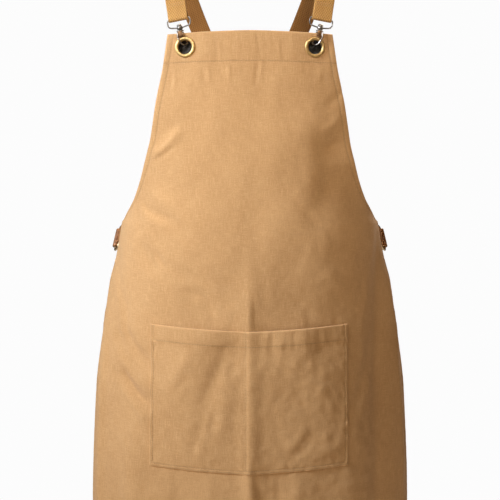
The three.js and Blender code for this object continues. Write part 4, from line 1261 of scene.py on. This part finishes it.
head, stem, rim_out = BOSS_HEIGHT / 2 + CLEARANCE, STEM_WIDTH / 2, COLLAR_WIDTH / 2
collar_top = COLLAR_UNDER + COLLAR_HEIGHT
head_profile = [
    (rim_out * 0.5, COLLAR_UNDER),
    (rim_out * 0.78, COLLAR_UNDER),
    (rim_out * 0.95, COLLAR_UNDER + COLLAR_HEIGHT * 0.12),
    (rim_out, COLLAR_UNDER + COLLAR_HEIGHT * 0.3),
    (rim_out * 0.97, COLLAR_UNDER + COLLAR_HEIGHT * 0.48),
    (rim_out * 0.72, collar_top - COLLAR_HEIGHT * 0.3),
    (rim_out * 0.56, collar_top),
    (stem, collar_top),
    (stem, head),
    (HEAD_WIDTH / 2 * 0.96, head),
    (HEAD_WIDTH / 2, head + HEAD_HEIGHT * 0.2),
    (HEAD_WIDTH / 2 * 0.9, head + HEAD_HEIGHT * 0.52),
    (HEAD_WIDTH / 2 * 0.68, head + HEAD_HEIGHT * 0.8),
    (stem * 0.8, head + HEAD_HEIGHT * 0.95),
    (stem * 0.3, head + HEAD_HEIGHT),
]
hook_head = turned("hook_head", head_profile, 40)
hook_head.data.transform(standing(boss_at))
rod_points = drawn_through([hook_point(*row) for row in hook_route], 90)
hook_rod = bent_wire("hook_rod", rod_points, HOOK_WIRE)
hook = cast_together("hook", [hook_head, hook_rod], 0.2)
bright_nickel = worn_metal("worn_nickel", *BRIGHT_NICKEL, 0.3, 0.55)
finished_pair(hook, "cast_hook", "snap_hook", bright_nickel)
plate = hook_plate(hook_frame())
plate_edge = plate.modifiers.new("edge", "BEVEL")
plate_edge.width = 0.25 * MM
plate_edge.segments = 2
select_only(plate)
bpy.ops.object.modifier_apply(modifier="edge")
smoothed(plate)
# The plate's dark bronze finish is partly painted shadow of the hook on the cloth.
plate_and_shadow_finish = worn_metal("plate_bronze_and_shadow", *PLATE_BRONZE_AND_SHADOW, 0.5, 0.6)
finished_pair(plate, "hook_plate", "snap_hook", plate_and_shadow_finish)

# Gates: flat bronze bars that close the hooks behind the bib, each with rounded edges and a raised pin
# across its upper end, where the real one turns.
GATE_WIDTH = 3.2
GATE_WALL = 1.2
GATE_PIN = 0.75
GATE_BRONZE = (0.42, 0.24, 0.11), (0.20, 0.10, 0.04)


def build_gate():
    hook_at = hook_frame()
    tip = hook_point(*hook_route[-1])
    top_end = in_frame(hook_at, 0.12 * HOOK_LENGTH, -CLEARANCE, -1.75 * HEM_WALL)
    way = unit(top_end - tip)
    bottom_end = tip + way * (CLEARANCE + HOOK_WIRE / 2)
    out = unit(hook_at["out"] - way * (hook_at["out"] @ way))
    length = float(np.linalg.norm(top_end - bottom_end))
    bpy.ops.object.select_all(action="DESELECT")
    bpy.ops.mesh.primitive_cube_add(size=1, scale=(GATE_WIDTH, GATE_WALL, length))
    gate = bpy.context.object
    bpy.ops.object.transform_apply(location=False, rotation=False, scale=True)
    bpy.ops.object.mode_set(mode="EDIT")
    bpy.ops.mesh.select_all(action="SELECT")
    bpy.ops.mesh.bevel(offset=0.4, segments=3, affect="EDGES")
    bpy.ops.object.mode_set(mode="OBJECT")
    bpy.ops.object.select_all(action="DESELECT")
    bpy.ops.mesh.primitive_cylinder_add(
        vertices=24, radius=GATE_PIN, depth=GATE_WIDTH, location=(0, 0, length / 2 - 0.9),
        rotation=(0, math.pi / 2, 0),
    )
    bpy.ops.object.transform_apply(location=True, rotation=True, scale=True)
    pin = bpy.context.object
    select_only(gate)
    pin.select_set(True)
    bpy.ops.object.join()
    middle = (top_end + bottom_end) / 2
    gate.data.transform(basis(np.cross(out, way), out, way, middle))
    return gate


gate = build_gate()
smoothed(gate)
worn_bronze = worn_metal("worn_bronze", *GATE_BRONZE, 0.36, 0.5)
finished_pair(gate, "bronze_gate", "hook_gate", worn_bronze)

# Waist rings: rounded rectangles of thick antique brass wire that hang in the tabs at the corners of the
# waist, each with the end of the strap from the other shoulder round its far bar.
RING_WIRE = 3.4
RING_INSIDE = 38
RING_GAP = 12
RING_ROUND = 2.5
RING_SLANT = 20
RING_SWING = 26
RING_LEAN = 20
TAB_WIDTH = 28
TAB_WALL = 1.8
TAB_LENGTH = 24
TAB_SEAT = 9
TAB_BEHIND = 0.9
STRAP_WIDTH = 30
STRAP_WALL = 2
STRAP_TAIL = 26
STRAP_TURN = 50
RING_BRASS = (0.60, 0.47, 0.27), (0.30, 0.21, 0.11)


def ring_frame():
    """Up runs away from the panel, across down along the ring's bars, and out to the side."""
    drop = WAIST_DROP + TAB_WIDTH * 0.6
    edge = cloth_frame(half_at(drop) - TAB_SEAT / 2, drop)
    slant, swing, lean = (math.radians(turn) for turn in (RING_SLANT, RING_SWING, RING_LEAN))
    level = math.cos(slant)
    up = np.array([math.sin(swing) * level, math.cos(swing) * level, -math.sin(slant)])
    side_way = np.array([math.cos(swing), -math.sin(swing), 0])
    across = np.cross(up, side_way) * math.cos(lean) + side_way * math.sin(lean)
    behind = -HEM_WALL - TAB_BEHIND - TAB_WALL - CLEARANCE / 2
    seat = {
        "at": in_frame(edge, TAB_SEAT / 2, 0, behind),
        "up": -edge["across"], "across": edge["up"], "out": edge["out"], "length": TAB_SEAT,
    }
    at = seat["at"] + up * (TAB_LENGTH - TAB_SEAT)
    return {"at": at, "up": up, "across": across, "out": np.cross(across, up), "seat": seat}


ring_at = ring_frame()
ring_half, ring_low, ring_high = RING_INSIDE / 2 + RING_WIRE / 2, 0.0, RING_GAP + RING_WIRE
ring_round = RING_ROUND + RING_WIRE / 2
ring_sag = (RING_INSIDE - STRAP_WIDTH) / 2 - RING_ROUND
ring_points = []
for quarter, (sign_x, sign_y) in enumerate(((1, -1), (1, 1), (-1, 1), (-1, -1))):
    centre_x = sign_x * (ring_half - ring_round)
    centre_y = ring_low + ring_round if sign_y < 0 else ring_high - ring_round
    for k in range(9):
        turn = (quarter - 1 + k / 8) * math.pi / 2
        x, y = centre_x + math.cos(turn) * ring_round, centre_y + math.sin(turn) * ring_round
        ring_points.append(in_frame(ring_at, ring_sag + x, y))
ring = bent_wire("ring", ring_points, RING_WIRE, closed=True, roundness=6)
smoothed(ring, 60)
ring_brass = worn_metal("antique_brass", *RING_BRASS, 0.3, 0.6)
finished_pair(ring, "brass_ring", "waist_ring", ring_brass)

# Tabs: strips of waxed brown leather folded round the near bar of each ring, with both ends sewn behind
# the corner of the waist. The leather is mottled and pored, and its edges are rounded.
LEATHER = (0.22, 0.10, 0.045)
LEATHER_DARK = (0.15, 0.052, 0.013)
LEATHER_LIGHT = (0.43, 0.19, 0.062)


def hairpin(place, bar, wall, tail, seat, core=0.0):
    """A band's end that is folded round a bar and lies doubled behind itself: from the tip of the tail,
    round the bar, to the same height in front. The core is what lies between its two layers."""
    bends = 16
    reach = ((bar + wall) / 2 + CLEARANCE) / math.cos(math.pi / bends)
    close = (wall + CLEARANCE + core) / 2
    free = tail - seat["length"]

    def lay(share, face):
        bent = min(share * tail / free, 1)
        leaving = place["at"] + place["up"] * free / 3
        landing = seat["at"] - seat["up"] * free / 3
        middle = (
            place["at"] * (1 - bent) ** 3 + leaving * 3 * bent * (1 - bent) ** 2
            + landing * 3 * bent**2 * (1 - bent) + seat["at"] * bent**3
        ) + seat["up"] * max(share * tail - free, 0)
        turn = float(smooth(bent, 0, 1))
        out = unit(place["out"] * (1 - turn) + seat["out"] * turn) * face
        across = unit(place["across"] * (1 - turn) + seat["across"] * turn)
        apart = reach + (close - reach) * float(smooth(share, 0, 0.55))
        return {"at": middle + out * apart, "across": across, "out": out}

    bend = []
    for k in range(bends + 1):
        angle = math.pi * k / bends
        out = -place["out"] * math.cos(angle) - place["up"] * math.sin(angle)
        bend.append({"at": place["at"] + out * reach, "across": place["across"], "out": out})
    shares = [k / 12 for k in range(1, 13)]
    return [lay(share, -1) for share in reversed(shares)] + bend + [lay(share, 1) for share in shares]


def band_object(name, stations, width, wall, edge_round):
    """A flat band with rounded edges through stations in millimetres. Its UV map runs across and along it
    in metres."""
    half, deep = width / 2, wall / 2
    turns = [quarter * math.pi / 4 for quarter in (-2, -1, 0, 1, 2)]
    left = [(-half + wall * edge_round * (1 - math.cos(t)), math.sin(t) * deep) for t in turns]
    inner = np.linspace(-1, 1, 9)[1:-1] * (half - wall * edge_round)
    upper = [(x, deep) for x in inner]
    right = [(-x, y) for x, y in reversed(left)]
    lower = [(x, -deep) for x in reversed(inner)]
    loop = left + upper + right + lower
    places = np.array([
        [station["at"] + station["across"] * x + station["out"] * y for x, y in loop]
        for station in stations
    ]) * MM
    count, size = len(stations), len(loop)
    middles = [station["at"] for station in stations]
    run = np.append(0, np.cumsum(np.linalg.norm(np.diff(middles, axis=0), axis=1)))
    girth = np.append(0, np.cumsum(np.linalg.norm(np.diff(loop + loop[:1], axis=0), axis=1)))
    faces, marks = [], []
    for k in range(count - 1):
        for side_number in range(size):
            after = (side_number + 1) % size
            faces.append((k * size + side_number, k * size + after,
                          (k + 1) * size + after, (k + 1) * size + side_number))
            marks += [(girth[side_number], run[k]), (girth[side_number + 1], run[k]),
                      (girth[side_number + 1], run[k + 1]), (girth[side_number], run[k + 1])]
    for k, order in ((0, reversed(range(size))), (count - 1, range(size))):
        cap = list(order)
        faces.append(tuple(k * size + corner for corner in cap))
        marks += [(loop[corner][0] + half, run[k] + loop[corner][1]) for corner in cap]
    mesh = bpy.data.meshes.new(name)
    mesh.from_pydata(places.reshape(-1, 3).tolist(), [], faces)
    mesh.uv_layers.new(name="cut_cloth").data.foreach_set("uv", (np.array(marks) * MM).ravel())
    under = [1.0 if y < 0 else 0.0 for _, y in loop] * count
    mesh.attributes.new("inner_face", "FLOAT", "POINT").data.foreach_set("value", under)
    mesh.polygons.foreach_set("use_smooth", [True] * len(mesh.polygons))
    band = bpy.data.objects.new(name, mesh)
    bpy.context.scene.collection.objects.link(band)
    select_only(band)
    bpy.ops.object.mode_set(mode="EDIT")
    bpy.ops.mesh.select_all(action="SELECT")
    bpy.ops.mesh.normals_make_consistent(inside=False)
    bpy.ops.object.mode_set(mode="OBJECT")
    bpy.ops.object.shade_smooth_by_angle(angle=math.radians(60))
    return band


def waxed_leather():
    material, tree, surface = shader("waxed_leather", LEATHER, 0.45)
    flat = cut_cloth_map(tree)
    wander = spread_noise(tree, flat, (60, 60, 1), 4, 0.6)
    pores = tree.nodes.new("ShaderNodeTexVoronoi")
    pores.inputs["Scale"].default_value = 900
    tree.links.new(flat, pores.inputs["Vector"])
    tone = blended(tree, ramp(tree, wander, 0.3, 0.7), LEATHER_DARK, LEATHER_LIGHT)
    tree.links.new(tone, surface.inputs["Base Color"])
    surface.inputs["Specular IOR Level"].default_value = 0.3
    bumped(tree, surface, [(wander, 0.0006), (pores.outputs["Distance"], 0.00018)])
    return material


tab_up = -ring_at["up"]
tab_near = {**ring_at, "up": tab_up, "across": np.cross(tab_up, ring_at["out"])}
tab_stations = hairpin(tab_near, RING_WIRE, TAB_WALL, TAB_LENGTH, ring_at["seat"])
tab = band_object("tab", tab_stations, TAB_WIDTH, TAB_WALL, 0.4)
tab_leather = waxed_leather()
finished_pair(tab, "leather_tab", "waist_tab", tab_leather)

# Straps: 30 mm tan webbing with a fine diagonal twill, one from each hook over the shoulder, crossing
# behind the back, to the ring at the other corner of the waist. Each end is folded round its bar and sewn.
SHOULDER_HALF = 124
BACK_REACH = 84
TWILL_PITCH = 0.0030
WEBBING = (0.50, 0.30, 0.13)
RIB_DARK = (0.32, 0.14, 0.025)
RIB_LIGHT = (0.56, 0.29, 0.075)
CROSS_RIB = (0.70, 0.39, 0.12)
YARN_LIGHT = (0.74, 0.43, 0.17)
WEBBING_SHADE = (0.38, 0.17, 0.045)
# Painted shade: the inner face of each strap is darkened by this share.
INNER_FACE_PAINTED_SHADE = (0.50, 0.42, 0.32)

# Route for the strap that starts at +X: across as a share of SHOULDER_HALF, depth as a share of
# FRONT_REACH or, behind the crest, of BACK_REACH, rise as a share of SHOULDER_RISE, and the outer face.
upper_route = [
    (0.93, -0.87, -0.5, (0.08, -1, 0.1)),
    (0.955, -0.75, -0.27, (0.08, -1, 0.4)),
    (0.98, -0.47, -0.08, (0.05, -0.7, 0.7)),
    (1.0, 0.0, 0.0, (0.03, 0, 1)),
    (0.965, 0.5, -0.1, (0.05, 0.7, 0.7)),
    (0.88, 0.84, -0.34, (0.05, 1, 0.35)),
    (0.71, 0.96, -0.7, (0.02, 1, 0.1)),
    (0.55, 1.0, -1.0, (0.0, 1, 0.08)),
    (0.29, 1.1, -1.5, (0.0, 1, 0.08)),
    (0.0, 1.18, -2.06, (0.0, 1, 0.0)),
]

# From the crossing to the ring: shares of the way across and down, depth as a share of BACK_REACH.
lower_route = [
    (0.24, 0.38, 1.17, (-0.15, 1, 0)),
    (0.52, 0.66, 1.1, (-0.35, 1, 0)),
    (0.78, 0.85, 0.94, (-0.7, 0.8, 0)),
]


def far_bar():
    """Frame of the bar that the strap's lower end goes round, on the right side of the apron."""
    turn = math.radians(STRAP_TURN)
    away = ring_at["up"] * math.cos(turn) - ring_at["out"] * math.sin(turn)
    out = ring_at["out"] * math.cos(turn) + ring_at["up"] * math.sin(turn)
    at = in_frame(ring_at, 0, RING_GAP + RING_WIRE)
    return {"at": at, "up": away, "out": out, "across": np.cross(away, out)}


def on_other_side(stations):
    """The same stations on the other side of the apron."""
    mirror = np.array([-1, 1, 1])
    return [{name: way * mirror for name, way in station.items()} for station in stations]


def seat_above(bar, length):
    """Where the end that is folded round a bar lies flat on itself, the given length from the bar."""
    return {**bar, "at": in_frame(bar, 0, length), "length": 0}


def strap_stations(over):
    """Stations of a strap; over is 1 for the one that lies outside at the crossing, -1 for the other."""
    bar = {**boss_at, "at": in_frame(boss_at, 0, BAIL_DROP)}
    start = hairpin(bar, BAIL_WIRE, STRAP_WALL, STRAP_TAIL, seat_above(bar, STRAP_TAIL))
    far = far_bar()
    far_end = hairpin(far, RING_WIRE, STRAP_WALL, STRAP_TAIL, seat_above(far, STRAP_TAIL))
    end = on_other_side(reversed(far_end))
    places, faces = [start[-1]["at"]], [start[-1]["out"]]
    for across, depth, rise, face in upper_route:
        reach = FRONT_REACH if depth < 0 else BACK_REACH
        face = unit(np.array(face, float))
        place = np.array([across * SHOULDER_HALF, depth * reach, rise * SHOULDER_RISE])
        places.append(place + face * STRAP_WALL / 2)
        faces.append(face)
    crossing = places[-1].copy() - faces[-1] * STRAP_WALL / 2
    places[-1] = places[-1] + np.array([0, (STRAP_WALL + CLEARANCE) * 0.8 * over, 0])
    for across, down, depth, face in lower_route:
        face = unit(np.array(face, float))
        place = np.array([
            end[0]["at"][0] * across,
            depth * BACK_REACH,
            crossing[2] + (end[0]["at"][2] - crossing[2]) * down,
        ])
        places.append(place + face * STRAP_WALL / 2)
        faces.append(face)
    places.append(end[0]["at"])
    faces.append(end[0]["out"])
    cells = 18 * (len(places) - 1)
    path, looks = drawn_through(places, cells + 1), drawn_through(faces, cells + 1)
    free = []
    for k in range(1, cells):
        way = unit(path[k + 1] - path[k - 1])
        across = unit(np.cross(way, looks[k]))
        free.append({"at": path[k], "across": across, "out": np.cross(across, way)})
    return start + free + end


def strap_webbing():
    """Cotton webbing in a diagonal twill: slanted ribs, crossed by a fainter set, in uneven yarn. The inner
    face is darkened as painted shade.
    """
    material, tree, surface = shader("tan_webbing", WEBBING, 0.85)
    flat = cut_cloth_map(tree)
    slanted = ribs(tree, flat, (0.8, 0.6), TWILL_PITCH)
    fine = ribs(tree, flat, (-0.8, 0.6), TWILL_PITCH)
    wander = spread_noise(tree, flat, (70, 16, 1), 3, 0.6)
    yarn = spread_noise(tree, flat, (700, 700, 1), 2, 0.6)
    tone = blended(tree, slanted, RIB_DARK, RIB_LIGHT)
    tone = blended(tree, ramp(tree, fine, 0.1, 1.0, 0.55), tone, CROSS_RIB)
    tone = blended(tree, ramp(tree, yarn, 0.45, 0.7, 0.5), tone, YARN_LIGHT)
    tone = blended(tree, ramp(tree, wander, 0.45, 0.8, 0.5), tone, WEBBING_SHADE)
    # Painted shade on the strap's inner face.
    within = tree.nodes.new("ShaderNodeAttribute")
    within.attribute_name = "inner_face"
    tone = blended(tree, within.outputs["Fac"], tone, INNER_FACE_PAINTED_SHADE, "MULTIPLY")
    tree.links.new(tone, surface.inputs["Base Color"])
    surface.inputs["Sheen Weight"].default_value = 0.15
    surface.inputs["Specular IOR Level"].default_value = 0.2
    bumped(tree, surface, [(wander, 0.0005), (slanted, 0.00025), (fine, 0.00012), (yarn, 0.0001)])
    return material


webbing = strap_webbing()
for name, over in (("right", 1), ("left", -1)):
    stations = strap_stations(over)
    if over < 0:
        stations = on_other_side(stations)
    strap = band_object(f"webbing_strap_{name}", stations, STRAP_WIDTH, STRAP_WALL, 0.5)
    strap.data.materials.append(webbing)
    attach(strap, "root")
    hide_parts(f"strap_{name}")

# Strap ends: where a strap goes round its ring, a thin strip of the tabs' brown leather is folded over the
# webbing, so that the ring doesn't wear it through.
END_WALL = 0.8
END_LENGTH = 23
far = far_bar()
end_seat = seat_above(far, END_LENGTH)
end_bar = RING_WIRE + 2 * (STRAP_WALL + CLEARANCE)
end_core = 2 * (STRAP_WALL + CLEARANCE)
end_stations = hairpin(far, end_bar, END_WALL, END_LENGTH, end_seat, end_core)
strap_end = band_object("strap_end", end_stations, STRAP_WIDTH + 0.6, END_WALL, 0.4)
strap_end.name = strap_end.data.name = "leather_end_right"
strap_end_left = mirrored_copy(strap_end, "leather_end_left")
for piece in (strap_end, strap_end_left):
    piece.data.materials.append(tab_leather)
    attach(piece, "root")

# Strap and tab stitching: doubled rows of tan thread across the folded strap ends, through both layers and,
# at the rings, through the leather, and a short row at each corner that holds the tab to the panel.
SEWN_HALF = 13
FRONT_END_ROWS = (20.5, 23.5)
RING_END_ROWS = (17, 20)
CORNER_INSET = 5.5


def cross_rows(place, heights, proud):
    """Rows of stitches across a band, on both of its faces."""
    rows = []
    for height in heights:
        for face in (-1, 1):
            for across in np.arange(-SEWN_HALF, SEWN_HALF - STITCH / 2, STITCH + STITCH_GAP):
                at = (across, across + STITCH / 2, across + STITCH)
                ends = [in_frame(place, along, height, face * proud) for along in at]
                rows.append((*ends, place["out"] * face))
    return rows


front_end = {**boss_at, "at": in_frame(boss_at, 0, BAIL_DROP)}
strap_stitches = cross_rows(front_end, FRONT_END_ROWS, STRAP_WALL + CLEARANCE / 2)
strap_stitches += cross_rows(far, RING_END_ROWS, STRAP_WALL + 1.5 * CLEARANCE + END_WALL)
strap_thread = thread_object("strap_stitching", strap_stitches, THREAD)
strap_thread.name = strap_thread.data.name = "strap_stitching_right"
corner_stitches = []
corner_drops = np.linspace(WAIST_DROP + TAB_WIDTH * 0.2, WAIST_DROP + TAB_WIDTH, 30)
stitched_row(half_at(corner_drops) - CORNER_INSET, corner_drops, np.full(30, 0.2), corner_stitches)
corner_thread = thread_object("corner_stitching", corner_stitches, THREAD)
select_only(strap_thread)
corner_thread.select_set(True)
bpy.ops.object.join()
strap_thread_left = mirrored_copy(strap_thread, "strap_stitching_left")
for piece in (strap_thread, strap_thread_left):
    piece.data.materials.append(thread_material)
    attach(piece, "root")
